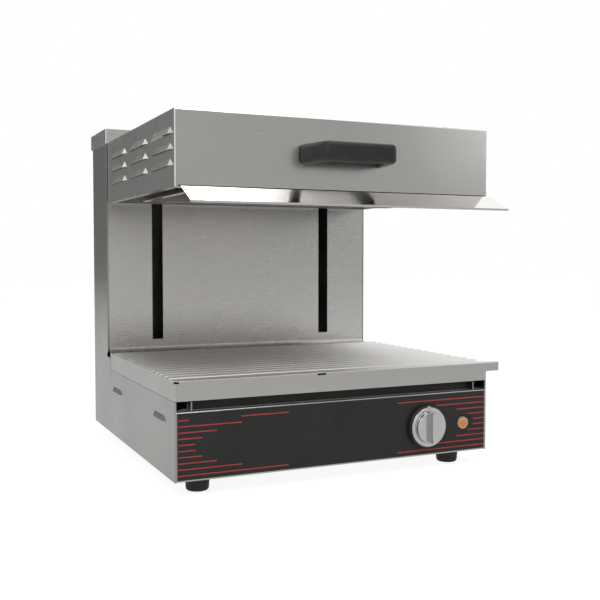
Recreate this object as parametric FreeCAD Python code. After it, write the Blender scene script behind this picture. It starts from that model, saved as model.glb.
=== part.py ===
import FreeCAD, Part
import math
import os
from FreeCAD import Vector

# Countertop cheese melter with a lifting, counterbalanced hood.
# Millimetres. +X is to the right seen from the front, +Y to the back, +Z up.
# The origin is the centre of the underside of the base, between the four feet.
# The hood is drawn at the top of its travel.

# Body
BODY_WIDTH = 600.0
BODY_DEPTH = 600.0
BASE_HEIGHT = 129.5
COLUMN_DEPTH = 129.0
COLUMN_HEIGHT = 590.0
SHEET = 1.2
HEM = 3.0
HEM_DEPTH = 12.0
FLANGE = 15.0
BEND = 1.0
OVERRUN = 2.0
SEAT_GAP = 0.3
NEAR = 0.05

HALF_WIDTH = BODY_WIDTH / 2
FRONT_Y = -BODY_DEPTH / 2
BACK_Y = BODY_DEPTH / 2
COLUMN_FRONT_Y = BACK_Y - COLUMN_DEPTH
INNER_HALF = HALF_WIDTH - HEM - SEAT_GAP

# Cooking plate with pressed ribs
PLATE_SKIRT = 32.5
PLATE_SHEET = 1.5
PLATE_REAR_SETBACK = 23.0
PLATE_CORNER = 2.5
RIB_COUNT = 15
RIB_WIDTH = 13.0
RIB_RISE = 3.6
RIB_REAR_MARGIN = 34.0
RIB_FRONT_MARGIN = 36.0
GRIP_REACH = 30.0
GRIP_DROP = 16.0
GRIP_DEPTH = 26.0
PLATE_SLOT_WIDTH = 16.0
PLATE_SLOT_HEIGHT = 4.0
PLATE_SLOT_X = -41.0
CORNER_NOTCH = 10.0
CORNER_NOTCH_DROP = 4.0

PLATE_TOP = BASE_HEIGHT + PLATE_SKIRT
PLATE_BACK_Y = COLUMN_FRONT_Y - PLATE_REAR_SETBACK
RIB_PITCH = (PLATE_BACK_Y - FRONT_Y - RIB_REAR_MARGIN - RIB_FRONT_MARGIN) / (RIB_COUNT - 1)

# Relief hole and slit where the side sheet steps up from the base to the column
RELIEF_HEIGHT = 9.0
RELIEF_LENGTH = 34.0
RELIEF_SETBACK = 5.0
SLIT_WIDTH = 1.4
SLIT_BELOW_SEAM = 18.0

# Column front panel and its two slots
SLOT_SIDE_MARGIN = 106.0
SLOT_CENTRE = HALF_WIDTH - SLOT_SIDE_MARGIN
SLOT_WIDTH = 23.0
SLOT_SPARE = 64.0
SLOT_TOP_MARGIN = 14.0
COVE_RADIUS = 9.0

# Cap
CAP_HEIGHT = 29.5
CAP_REAR_OVERHANG = 12.0
CAP_MARK_HEIGHT = 9.0
CAP_MARK_WIDTH = 2.0
CAP_MARK_SETBACK = 71.0

# Control front
RECESS_HEIGHT = 17.0
FASCIA_TOP = BASE_HEIGHT - RECESS_HEIGHT
FASCIA_LIP = 3.0
OVERLAY_THICKNESS = 0.6
OVERLAY_SIDE_MARGIN = 1.2
KNOB_SIDE_MARGIN = 132.5
KNOB_X = HALF_WIDTH - KNOB_SIDE_MARGIN
CONTROL_HEIGHT_SHARE = 0.48
CONTROL_Z = FASCIA_TOP * CONTROL_HEIGHT_SHARE
LAMP_SIDE_MARGIN = 53.0
LAMP_X = HALF_WIDTH - LAMP_SIDE_MARGIN
SHAFT_RADIUS = 3.0
SHAFT_HOLE_RADIUS = 5.0
LAMP_HOLE_RADIUS = 7.0

# Drip tray on its deck
TRAY_SIDE_ROOM = 27.0
TRAY_WIDTH = BODY_WIDTH - 2 * TRAY_SIDE_ROOM
TRAY_HEIGHT = 14.0
TRAY_SHEET = 1.0
TRAY_FRONT_RECESS = 12.0
TRAY_SIDE_HEM = 3.0
TRAY_REAR_MARGIN = 10.0
RUNNER_HEIGHT = 10.0
RUNNER_FOOT = 12.0

# Hood
HOOD_ABOVE_COLUMN = 0.5
HOOD_HEIGHT = 122.0
HOOD_TOP = COLUMN_HEIGHT + HOOD_ABOVE_COLUMN
HOOD_BOTTOM = HOOD_TOP - HOOD_HEIGHT
HOOD_SIDE_INSET = 2.5
HOOD_REAR_GAP = 6.0
HOOD_SHEET = 1.0
HOOD_WRAP = 3.0
HOOD_LIP = 7.0
HOOD_FLANGE = 12.0
REAR_RAIL_HEIGHT = 9.0
REAR_CUTOUT_WIDTH = 30.0

HOOD_HALF = HALF_WIDTH - HOOD_SIDE_INSET
HOOD_BACK_Y = COLUMN_FRONT_Y - HOOD_REAR_GAP

# Pressed louvres of the hood, all made with one tool
LOUVRE_HEIGHT = 11.3
LOUVRE_WIDTH = 5.0
LOUVRE_END_RUN = 19.0
LOUVRE_GAP = 16.3
LOUVRE_ROW_PITCH = 25.2
LOUVRE_FIRST_SETBACK = 4.0
LOUVRE_REAR_MARGIN = 10.1
LOUVRE_OVERRUN = 0.5
LOUVRE_ROWS = 3
LOUVRES_PER_ROW = 3
LOUVRE_LOW_ROW = 34.0
TOP_LOUVRE_COLUMNS = 4
TOP_LOUVRE_PITCH = 25.2
TOP_LOUVRE_SIDE_ROOM = 129.5

LOUVRE_ROOM = HOOD_BACK_Y - FRONT_Y - LOUVRE_FIRST_SETBACK - LOUVRE_REAR_MARGIN
LOUVRE_PITCH = LOUVRE_ROOM / LOUVRES_PER_ROW
LOUVRE_LENGTH = LOUVRE_PITCH - LOUVRE_GAP
TOP_LOUVRE_INNER_X = HOOD_HALF - TOP_LOUVRE_SIDE_ROOM

# Small louvres in the base sides
VENT_LENGTH = 75.0
VENT_HEIGHT = 9.0
VENT_WIDTH = 3.2
VENT_END_RUN = 9.0
VENT_DROP = 39.5
VENT_Z = BASE_HEIGHT - VENT_DROP
VENT_FRONT_SETBACK = 49.0
VENT_COLUMN_SETBACK = 119.0

# Front visor of the hood
VISOR_LEDGE = 19.0
VISOR_REACH = 50.0
VISOR_DROP = 24.5
VISOR_INSET = 4.0
VISOR_SHEET = 1.2
VISOR_HEM = 3.2
VISOR_HEM_LENGTH = 7.0

# Reflector and heating elements
REFLECTOR_SIDE_ROOM = 35.5
REFLECTOR_HALF_WIDTH = HOOD_HALF - REFLECTOR_SIDE_ROOM
REFLECTOR_DEPTH_SHARE = 0.628
REFLECTOR_DEPTH = (HOOD_BACK_Y - FRONT_Y) * REFLECTOR_DEPTH_SHARE
REFLECTOR_FRONT_MARGIN = 8.0
REFLECTOR_BELOW_HOOD = 6.0
REFLECTOR_HEADROOM = 44.5
REFLECTOR_TOP = HOOD_TOP - REFLECTOR_HEADROOM
REFLECTOR_SHEET = 0.8
REFLECTOR_LIP = 7.0
ELEMENT_COUNT = 3
ELEMENT_RADIUS = 4.2
ELEMENT_PITCH_SHARE = 0.3014
ELEMENT_PITCH = REFLECTOR_DEPTH * ELEMENT_PITCH_SHARE
ELEMENT_LEG_SHARE = 0.545
ELEMENT_LEG_SPACING = ELEMENT_PITCH * ELEMENT_LEG_SHARE
ELEMENT_RISE = 19.0
ELEMENT_END_MARGIN = 28.0
ELEMENT_STUB = 20.0
TERMINAL_RADIUS = 6.5
TERMINAL_LENGTH = 12.0
SUPPORT_SIDE_ROOM = 142.0
SUPPORT_X = REFLECTOR_HALF_WIDTH - SUPPORT_SIDE_ROOM
SUPPORT_SHEET = 1.5
SUPPORT_MARGIN = 4.0
EYE_CLEARANCE = 0.1
HANGER_WIDTH = 30.0
HANGER_SIDE_ROOM = 37.0
HANGER_X = REFLECTOR_HALF_WIDTH - HANGER_SIDE_ROOM

# Handle, an open-bottomed grip
HANDLE_BASE_WIDTH = 168.0
HANDLE_FRONT_WIDTH = 132.0
HANDLE_REACH = 67.0
HANDLE_HEIGHT = 33.0
HANDLE_WALL = 4.0
HANDLE_CORNER = 8.0
HANDLE_EDGE = 3.0
HANDLE_BOSS_RADIUS = 6.0
HANDLE_BOSS_LENGTH = 20.0
HANDLE_SCREW_RADIUS = 2.0
HANDLE_SCREW_X = 60.0
HANDLE_SCREW_HEAD = 3.5
HANDLE_SCREW_LENGTH = 15.0

# Lifting gear inside the column
LOWEST_HOOD_GAP = 56.5
TRAVEL = HOOD_BOTTOM - PLATE_TOP - LOWEST_HOOD_GAP
ARM_THICKNESS = 6.0
ARM_REACH = 150.0
ARM_HEIGHT = 56.0
ARM_TIP_HEIGHT = 26.0
ARM_DROP = 90.0
ARM_BOTTOM = COLUMN_HEIGHT - ARM_DROP
ARM_TOP_FLANGE = 22.0
CARRIAGE_SHEET = 5.0
CARRIAGE_PAST_SLOT = 18.0
CARRIAGE_HALF_WIDTH = SLOT_CENTRE + CARRIAGE_PAST_SLOT
CARRIAGE_GAP = 7.0
ROD_FROM_SLOT = 49.0
ROD_X = SLOT_CENTRE - ROD_FROM_SLOT
ROD_Y_INSET = 35.0
ROD_RADIUS = 8.0
ROD_TOP_MARGIN = 8.0
ROD_TAB_X = 60.0
ROD_TAB_WIDTH = 24.0
ROD_TAB_SHEET = 3.0
BUSH_RADIUS = 12.0
BUSH_CLEARANCE = 0.05
HOUSING_HALF = 17.0
ROD_BAR_HEIGHT = 12.0
ROD_BAR_HALF_DEPTH = 12.0
WEIGHT_INSIDE_ROD = 29.0
WEIGHT_HALF_WIDTH = ROD_X - WEIGHT_INSIDE_ROD
WEIGHT_DEPTH = 48.0
WEIGHT_HEIGHT = 140.0
WEIGHT_BOTTOM = 26.0
WEIGHT_CHAMFER = 3.0
PULLEY_INSIDE_ROD = 57.0
PULLEY_X = ROD_X - PULLEY_INSIDE_ROD
PULLEY_RADIUS = 22.0
PULLEY_RIM = 3.0
PULLEY_HALF_WIDTH = 6.0
PULLEY_BORE_CLEARANCE = 0.05
PULLEY_DROP = 34.0
PULLEY_Z = COLUMN_HEIGHT - PULLEY_DROP
AXLE_RADIUS = 4.0
CHEEK_SHEET = 3.0
CHEEK_GAP = 1.0
ROPE_RADIUS = 1.5
ROPE_CLEARANCE = 0.3
LUG_HEIGHT = 14.0
EYE_RADIUS = 6.0
EYE_HEIGHT = 12.0
BRACKET_HALF = 12.0

# The slots run past the arms' lowest place
SLOT_BOTTOM = ARM_BOTTOM - TRAVEL - SLOT_SPARE

# Rear panel, gland and electrical parts
GLAND_SIDE_MARGIN = 85.0
GLAND_X = HALF_WIDTH - GLAND_SIDE_MARGIN
GLAND_Z = 48.0
GLAND_RADIUS = 10.0
GLAND_BORE_RADIUS = 5.0
GLAND_OUTSIDE = 14.0
GLAND_INSIDE = 12.0
GLAND_FLANGE = 3.0
REGULATOR_SIZE = 44.0
REGULATOR_DEPTH = 36.0
REGULATOR_CORNER = 3.0
TERMINAL_BLOCK_LENGTH = 60.0
TERMINAL_BLOCK_WIDTH = 24.0
TERMINAL_BLOCK_HEIGHT = 22.0
TERMINAL_BLOCK_MARGIN = 5.0
TERMINAL_COUNT = 5
TERMINAL_WELL_RADIUS = 3.0
REAR_VENT_COUNT = 5
REAR_VENT_LENGTH = 90.0
REAR_VENT_WIDTH = 5.0
REAR_VENT_PITCH = 16.0
REAR_VENT_DROP = 120.0
REAR_VENT_Z = COLUMN_HEIGHT - REAR_VENT_DROP

# Knob and pilot lamp
SKIRT_RADIUS = 38.0
SKIRT_DEPTH = 8.0
KNOB_DISC_RADIUS = 35.5
KNOB_DISC_DEPTH = 4.0
KNOB_HUB_RADIUS = 29.0
KNOB_HUB_TAPER = 2.0
KNOB_HUB_DEPTH = 6.0
KNOB_BAR_DEPTH = 11.0
KNOB_BAR_HALF = 5.0
KNOB_BAR_TAPER = 1.5
KNOB_BAR_REACH = 26.0
KNOB_RUNNING_GAP = 0.8
KNOB_EDGE = 1.5
KNOB_NOSE_WIDTH = 15.0
KNOB_MARK_WIDTH = 2.0
KNOB_MARK_DEPTH = 1.0
SHAFT_INSIDE = 9.0
SHAFT_CLEARANCE = 0.05
LAMP_BEZEL_RADIUS = 11.0
LAMP_BEZEL_DEPTH = 3.5
LAMP_LENS_RADIUS = 7.5
LAMP_LENS_RISE = 3.0
LAMP_BODY_LENGTH = 30.0

# Feet
FOOT_SIDE_MARGIN = 53.0
FOOT_END_MARGIN = 49.0
FOOT_X = HALF_WIDTH - FOOT_SIDE_MARGIN
FOOT_Y = BACK_Y - FOOT_END_MARGIN
FOOT_RADIUS = 21.0
FOOT_HEIGHT = 27.0
FOOT_ROUND = 5.0
FOOT_TAPER = 2.0
STUD_RADIUS = 5.0
STUD_LENGTH = 12.0
NUT_RADIUS = 8.0
NUT_HEIGHT = 5.0

# Stiffening beads of the base pan, just inside the feet, with the terminal block inside the right one
PAN_BEAD_HALF = 5.0
PAN_BEAD_RISE = 2.5
PAN_BEAD_CLEARANCE = 1.0
PAN_BEAD_X = FOOT_X - FOOT_RADIUS - PAN_BEAD_HALF - PAN_BEAD_CLEARANCE
TERMINAL_BLOCK_RIGHT = PAN_BEAD_X - PAN_BEAD_HALF - TERMINAL_BLOCK_MARGIN


def block(x0, x1, y0, y1, z0, z1):
    """A box between two corners, given in any order."""
    low = Vector(min(x0, x1), min(y0, y1), min(z0, z1))
    return Part.makeBox(abs(x1 - x0), abs(y1 - y0), abs(z1 - z0), low)


def at(axis, along, u, v):
    """A point from its place along an axis and its two other coordinates in x, y, z order."""
    if axis == "x":
        return Vector(along, u, v)
    if axis == "y":
        return Vector(u, along, v)
    return Vector(u, v, along)


def prism(points, axis, start, end):
    """Extrude a closed polygon, drawn square to an axis, from start to end."""
    corners = [at(axis, start, u, v) for u, v in points]
    face = Part.Face(Part.makePolygon(corners + corners[:1]))
    return face.extrude(at(axis, end - start, 0, 0))


def rod(axis, radius, start, end, u, v):
    """A round bar along an axis."""
    return Part.makeCylinder(radius, end - start, at(axis, start, u, v), at(axis, 1, 0, 0))


def long_edges(shape, axis, points):
    """Edges along an axis that pass through any of the given section points."""
    found = []
    for edge in shape.Edges:
        ends = [vertex.Point for vertex in edge.Vertexes]
        if len(ends) != 2:
            continue
        flat = [{"x": (p.y, p.z), "y": (p.x, p.z), "z": (p.x, p.y)}[axis] for p in ends]
        for u, v in points:
            if all(math.hypot(f[0] - u, f[1] - v) < NEAR for f in flat):
                found.append(edge)
                break
    return found


def folded(outline, thick, axis, start, end, side=1, bend=BEND):
    """A folded sheet: the outline is its outer face, the metal lies on its left (side=1) or right."""
    inner = []
    last = len(outline) - 1
    for i, (u, v) in enumerate(outline):
        normals = []
        for j in (i - 1, i):
            if 0 <= j < last:
                du = outline[j + 1][0] - outline[j][0]
                dv = outline[j + 1][1] - outline[j][1]
                length = math.hypot(du, dv)
                normals.append((-dv / length * side, du / length * side))
        mean_u = sum(n[0] for n in normals) / len(normals)
        mean_v = sum(n[1] for n in normals) / len(normals)
        scale = thick / (mean_u ** 2 + mean_v ** 2)
        inner.append((u + mean_u * scale, v + mean_v * scale))
    shape = prism(outline + inner[::-1], axis, start, end)
    for i in range(1, last):
        convex = cross(outline[i - 1], outline[i], outline[i + 1]) * side > 0
        drawn_radius = bend + thick if convex else bend
        hidden_radius = bend if convex else bend + thick
        shape = shape.makeFillet(drawn_radius, long_edges(shape, axis, [outline[i]]))
        shape = shape.makeFillet(hidden_radius, long_edges(shape, axis, [inner[i]]))
    return shape


def cross(a, b, c):
    """Which way three section points turn: positive to the left."""
    return (b[0] - a[0]) * (c[1] - b[1]) - (b[1] - a[1]) * (c[0] - b[0])


def solid_of(points, faces):
    """A closed solid from corner points and faces that list them."""
    shells = []
    for face in faces:
        loop = [points[i] for i in face]
        shells.append(Part.Face(Part.makePolygon(loop + loop[:1])))
    solid = Part.Solid(Part.Shell(shells))
    if solid.Volume < 0:
        solid.reverse()
    return solid


def louvre_pair(place, length, height, width, run, sheet):
    """The pressed-out wedge of one louvre and the hollow inside it.

    place(out, along, up) gives a point from the distance out of the sheet's face,
    the distance along the slit and the distance from the slit towards the crease.
    """
    corners = [(0, 0, 0), (0, length, 0), (0, length - run, height), (0, run, height),
               (width, run, 0), (width, length - run, 0)]
    faces = [(0, 1, 2, 3), (0, 4, 5, 1), (3, 2, 5, 4), (0, 3, 4), (1, 5, 2)]
    wedge = solid_of([place(*c) for c in corners], faces)
    wall = sheet * math.hypot(height, width) / height
    end_wall = sheet * math.sqrt(1 + (run / height) ** 2 + (run / width) ** 2)
    depth = -sheet - LOUVRE_OVERRUN
    rise = height * (1 - (wall + depth) / width)
    first = end_wall + run * depth / width
    near = end_wall + run * (1 - wall / width)
    hollow_corners = [(depth, first, 0), (depth, length - first, 0), (depth, length - near, rise),
                      (depth, near, rise), (width - wall, near, 0), (width - wall, length - near, 0)]
    hollow = solid_of([place(*c) for c in hollow_corners], faces)
    return wedge, hollow


def with_louvres(sheet_shape, places, length, height, width, run, sheet):
    """Press a set of louvres into a sheet."""
    pairs = [louvre_pair(place, length, height, width, run, sheet) for place in places]
    shape = sheet_shape.fuse([pair[0] for pair in pairs])
    return shape.cut([pair[1] for pair in pairs])


def side_place(side, face_x, y0, z0):
    """Louvre coordinates on a side sheet: out along X, slit along Y, crease above the slit."""
    def place(out, along, up):
        return Vector(side * (face_x + out), y0 + along, z0 + up)
    return place


def top_place(x0, y0, face_z):
    """Louvre coordinates on the top: out along Z, slit along Y on the louvre's right."""
    def place(out, along, up):
        return Vector(x0 - up, y0 + along, face_z + out)
    return place


def side_panel(side):
    """Side of base and column in one sheet, with hemmed front edges, a relief hole and a slit."""
    outer = side * HALF_WIDTH
    inner = side * (HALF_WIDTH - SHEET)
    hem = side * (HALF_WIDTH - HEM)
    step_z = PLATE_TOP - RELIEF_HEIGHT
    outline = [(FRONT_Y, 0), (BACK_Y, 0), (BACK_Y, COLUMN_HEIGHT), (COLUMN_FRONT_Y, COLUMN_HEIGHT),
               (COLUMN_FRONT_Y, step_z), (PLATE_BACK_Y + SLIT_WIDTH, step_z),
               (PLATE_BACK_Y + SLIT_WIDTH, BASE_HEIGHT), (FRONT_Y, BASE_HEIGHT)]
    shape = prism(outline, "x", outer, inner)
    base_hem = block(hem, inner, FRONT_Y, FRONT_Y + HEM_DEPTH, 0, BASE_HEIGHT - SHEET)
    column_hem = block(hem, inner, COLUMN_FRONT_Y, COLUMN_FRONT_Y + HEM_DEPTH,
                       PLATE_TOP + COVE_RADIUS, COLUMN_HEIGHT)
    ledge = block(inner, side * (HALF_WIDTH - FLANGE), FRONT_Y + HEM_DEPTH + HEM, PLATE_BACK_Y,
                  BASE_HEIGHT - SHEET, BASE_HEIGHT)
    shape = shape.fuse([base_hem, column_hem, ledge])
    relief_start = PLATE_BACK_Y - RELIEF_SETBACK
    relief = block(side * (HALF_WIDTH + OVERRUN), side * (HALF_WIDTH - HEM - OVERRUN), relief_start,
                   relief_start + RELIEF_LENGTH, step_z, PLATE_TOP)
    slit = block(side * (HALF_WIDTH + OVERRUN), inner - side * OVERRUN, PLATE_BACK_Y,
                 PLATE_BACK_Y + SLIT_WIDTH, BASE_HEIGHT - SLIT_BELOW_SEAM, step_z)
    shape = shape.cut([relief, slit])
    seam = [edge for edge in shape.Edges if edge.Length > COLUMN_DEPTH
            and all(abs(v.X - outer) < NEAR and abs(v.Z - BASE_HEIGHT) < NEAR for v in edge.Vertexes)]
    shape = shape.makeFillet(BEND, seam)
    starts = [FRONT_Y + VENT_FRONT_SETBACK, COLUMN_FRONT_Y - VENT_COLUMN_SETBACK]
    places = [side_place(side, HALF_WIDTH, y0, VENT_Z) for y0 in starts]
    return with_louvres(shape, places, VENT_LENGTH, VENT_HEIGHT, VENT_WIDTH, VENT_END_RUN, SHEET)


def column_front_panel():
    """Upright panel with two slots, coved forward at its foot to meet the cooking plate."""
    front = COLUMN_FRONT_Y
    foot = PLATE_BACK_Y + SEAT_GAP
    outline = [(foot, PLATE_TOP), (front, PLATE_TOP), (front, COLUMN_HEIGHT)]
    panel = folded(outline, SHEET, "x", -INNER_HALF, INNER_HALF, side=-1, bend=COVE_RADIUS)
    cuts = []
    for side in (-1, 1):
        centre = side * SLOT_CENTRE
        cuts.append(block(centre - SLOT_WIDTH / 2, centre + SLOT_WIDTH / 2, front - OVERRUN,
                          front + SHEET + OVERRUN, SLOT_BOTTOM, COLUMN_HEIGHT - SLOT_TOP_MARGIN))
    return panel.cut(cuts)


def back_panel():
    """Flat rear sheet between the sides, with a gland hole and a group of vent slots."""
    inner = HALF_WIDTH - SHEET - SEAT_GAP
    shape = block(-inner, inner, BACK_Y - SHEET, BACK_Y, SHEET, COLUMN_HEIGHT)
    cuts = [rod("y", GLAND_BORE_RADIUS + GLAND_FLANGE, BACK_Y - SHEET - OVERRUN, BACK_Y + OVERRUN,
                GLAND_X, GLAND_Z)]
    for i in range(REAR_VENT_COUNT):
        z0 = REAR_VENT_Z + i * REAR_VENT_PITCH
        cuts.append(block(-REAR_VENT_LENGTH / 2, REAR_VENT_LENGTH / 2, BACK_Y - SHEET - OVERRUN,
                          BACK_Y + OVERRUN, z0, z0 + REAR_VENT_WIDTH))
    return shape.cut(cuts)


def column_cap():
    """Folded lid over the column, open below."""
    outside = HALF_WIDTH + SEAT_GAP + SHEET
    front = COLUMN_FRONT_Y - SEAT_GAP - SHEET
    back = BACK_Y + CAP_REAR_OVERHANG
    top = COLUMN_HEIGHT + CAP_HEIGHT
    shape = block(-outside, outside, front, back, COLUMN_HEIGHT, top)
    hollow = block(-outside + SHEET, outside - SHEET, front + SHEET, back - SHEET,
                   COLUMN_HEIGHT - OVERRUN, top - SHEET)
    shape = shape.cut(hollow)
    mark_y = COLUMN_FRONT_Y + CAP_MARK_SETBACK
    mark_z = COLUMN_HEIGHT + (CAP_HEIGHT - CAP_MARK_HEIGHT) / 2
    marks = block(-outside - OVERRUN, outside + OVERRUN, mark_y, mark_y + CAP_MARK_WIDTH,
                  mark_z, mark_z + CAP_MARK_HEIGHT)
    shape = shape.cut(marks)
    corners = [(-outside, front), (outside, front), (-outside, back), (outside, back)]
    shape = shape.makeFillet(BEND + SHEET, long_edges(shape, "z", corners))
    ledge = block(-INNER_HALF, INNER_HALF, COLUMN_FRONT_Y, BACK_Y, COLUMN_HEIGHT, COLUMN_HEIGHT + SHEET)
    window = block(-INNER_HALF + FLANGE, INNER_HALF - FLANGE, COLUMN_FRONT_Y + FLANGE, BACK_Y - FLANGE,
                   COLUMN_HEIGHT - OVERRUN, COLUMN_HEIGHT + SHEET + OVERRUN)
    return shape.fuse(ledge_ring(ledge.cut(window), outside, front, back))


def ledge_ring(ring, outside, front, back):
    """The ring on which the cap rests, carried out to the cap's own walls."""
    low = COLUMN_HEIGHT
    high = COLUMN_HEIGHT + SHEET
    wall = outside - SHEET
    links = [block(-wall, -INNER_HALF, COLUMN_FRONT_Y, BACK_Y, low, high),
             block(INNER_HALF, wall, COLUMN_FRONT_Y, BACK_Y, low, high),
             block(-wall, wall, BACK_Y, back - SHEET, low, high),
             block(-wall, wall, front + SHEET, COLUMN_FRONT_Y, low, high)]
    return ring.fuse(links)


def base_pan():
    """Bottom sheet with short upturned edges, two stiffening beads and four stud holes."""
    inner = HALF_WIDTH - SHEET - SEAT_GAP
    front = FRONT_Y + FLANGE + SEAT_GAP
    back = BACK_Y - SHEET - SEAT_GAP
    outer = block(-inner, inner, front, back, 0, FLANGE)
    hollow = block(-inner + SHEET, inner - SHEET, front - OVERRUN, back - SHEET, SHEET, FLANGE + OVERRUN)
    beads = [pan_bead(side, SHEET, PAN_BEAD_RISE + SHEET, front, back) for side in (-1, 1)]
    grooves = [pan_bead(side, 0, PAN_BEAD_RISE, front - OVERRUN, back + OVERRUN) for side in (-1, 1)]
    holes = [rod("z", STUD_RADIUS + SEAT_GAP, -OVERRUN, SHEET + OVERRUN, x, y) for x, y in foot_places()]
    return outer.cut([hollow]).fuse(beads).cut(grooves + holes)


def pan_bead(side, low, high, front, back):
    """Straight bead along the bottom sheet, drawn as a low trapezoid between two heights."""
    centre = side * PAN_BEAD_X
    foot = PAN_BEAD_HALF
    crest = PAN_BEAD_HALF - PAN_BEAD_RISE
    outline = [(centre - foot, low), (centre - crest, high), (centre + crest, high), (centre + foot, low)]
    return prism(outline, "y", front, back)


def foot_places():
    return [(x, y) for x in (-FOOT_X, FOOT_X) for y in (-FOOT_Y, FOOT_Y)]


def fascia_panel():
    """Steel control front: lip below, flange above, holes for the shaft and the lamp."""
    flange_y = FRONT_Y + FLANGE
    outline = [(flange_y, 0), (FRONT_Y, 0), (FRONT_Y, FASCIA_TOP), (flange_y, FASCIA_TOP)]
    shape = folded(outline, SHEET, "x", -INNER_HALF, INNER_HALF, side=-1, bend=BEND)
    holes = [rod("y", SHAFT_HOLE_RADIUS, FRONT_Y - OVERRUN, FRONT_Y + SHEET + OVERRUN, KNOB_X, CONTROL_Z),
             rod("y", LAMP_HOLE_RADIUS, FRONT_Y - OVERRUN, FRONT_Y + SHEET + OVERRUN, LAMP_X, CONTROL_Z)]
    return shape.cut(holes)


def fascia_overlay():
    """Thin dark decor sheet bonded to the control front."""
    half = HALF_WIDTH - HEM - OVERLAY_SIDE_MARGIN
    shape = block(-half, half, FRONT_Y - OVERLAY_THICKNESS, FRONT_Y, FASCIA_LIP, FASCIA_TOP - BEND - SHEET)
    holes = [rod("y", SHAFT_HOLE_RADIUS, FRONT_Y - OVERRUN, FRONT_Y + OVERRUN, KNOB_X, CONTROL_Z),
             rod("y", LAMP_HOLE_RADIUS, FRONT_Y - OVERRUN, FRONT_Y + OVERRUN, LAMP_X, CONTROL_Z)]
    return shape.cut(holes)


def deck():
    """Sheet over the wiring space that carries the drip tray."""
    inner = HALF_WIDTH - SHEET - SEAT_GAP
    front = FRONT_Y + HEM_DEPTH + SEAT_GAP
    shape = block(-inner, inner, front, COLUMN_FRONT_Y, FASCIA_TOP, FASCIA_TOP + SHEET)
    down = [block(side * inner, side * (inner - SHEET), front, COLUMN_FRONT_Y, FASCIA_TOP - FLANGE,
                  FASCIA_TOP) for side in (-1, 1)]
    return shape.fuse(down)


def tray_runner(side):
    """Small angle on the deck that guides one side of the drip tray."""
    wall = side * (TRAY_WIDTH / 2 + SEAT_GAP)
    foot = wall + side * RUNNER_FOOT
    start = FRONT_Y + HEM_DEPTH + HEM
    end = COLUMN_FRONT_Y - FLANGE
    floor_z = FASCIA_TOP + SHEET
    upright = block(wall, wall + side * SHEET, start, end, floor_z, floor_z + RUNNER_HEIGHT)
    base = block(wall, foot, start, end, floor_z, floor_z + SHEET)
    return upright.fuse(base)


def drip_tray():
    """Shallow sliding pan with forward-standing hemmed sides and a recessed front."""
    half = TRAY_WIDTH / 2
    front = FRONT_Y + TRAY_FRONT_RECESS
    back = COLUMN_FRONT_Y - TRAY_REAR_MARGIN
    z0 = FASCIA_TOP + SHEET
    shape = block(-half, half, front, back, z0, z0 + TRAY_HEIGHT)
    hollow = block(-half + TRAY_SHEET, half - TRAY_SHEET, front + TRAY_SHEET, back - TRAY_SHEET,
                   z0 + TRAY_SHEET, z0 + TRAY_HEIGHT + OVERRUN)
    ends = [block(side * half, side * (half - TRAY_SIDE_HEM), FRONT_Y + BEND, front + TRAY_SIDE_HEM, z0,
                  z0 + TRAY_HEIGHT) for side in (-1, 1)]
    lip = block(-half, half, front, front + TRAY_SIDE_HEM, z0 + TRAY_HEIGHT - TRAY_SHEET, z0 + TRAY_HEIGHT)
    return shape.cut(hollow).fuse(ends + [lip])


def rib_centres():
    first = PLATE_BACK_Y - RIB_REAR_MARGIN
    return [first - i * RIB_PITCH for i in range(RIB_COUNT)]


def rib_profile(base_z, half_width, rise):
    """Wire of the plate's surface line across the ribs, from the back to the front."""
    edges = []
    y = PLATE_BACK_Y
    for centre in rib_centres():
        edges.append(Part.LineSegment(Vector(0, y, base_z), Vector(0, centre + half_width, base_z)).toShape())
        arc = Part.Arc(Vector(0, centre + half_width, base_z), Vector(0, centre, base_z + rise),
                       Vector(0, centre - half_width, base_z))
        edges.append(arc.toShape())
        y = centre - half_width
    edges.append(Part.LineSegment(Vector(0, y, base_z), Vector(0, FRONT_Y, base_z)).toShape())
    return edges


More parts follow.
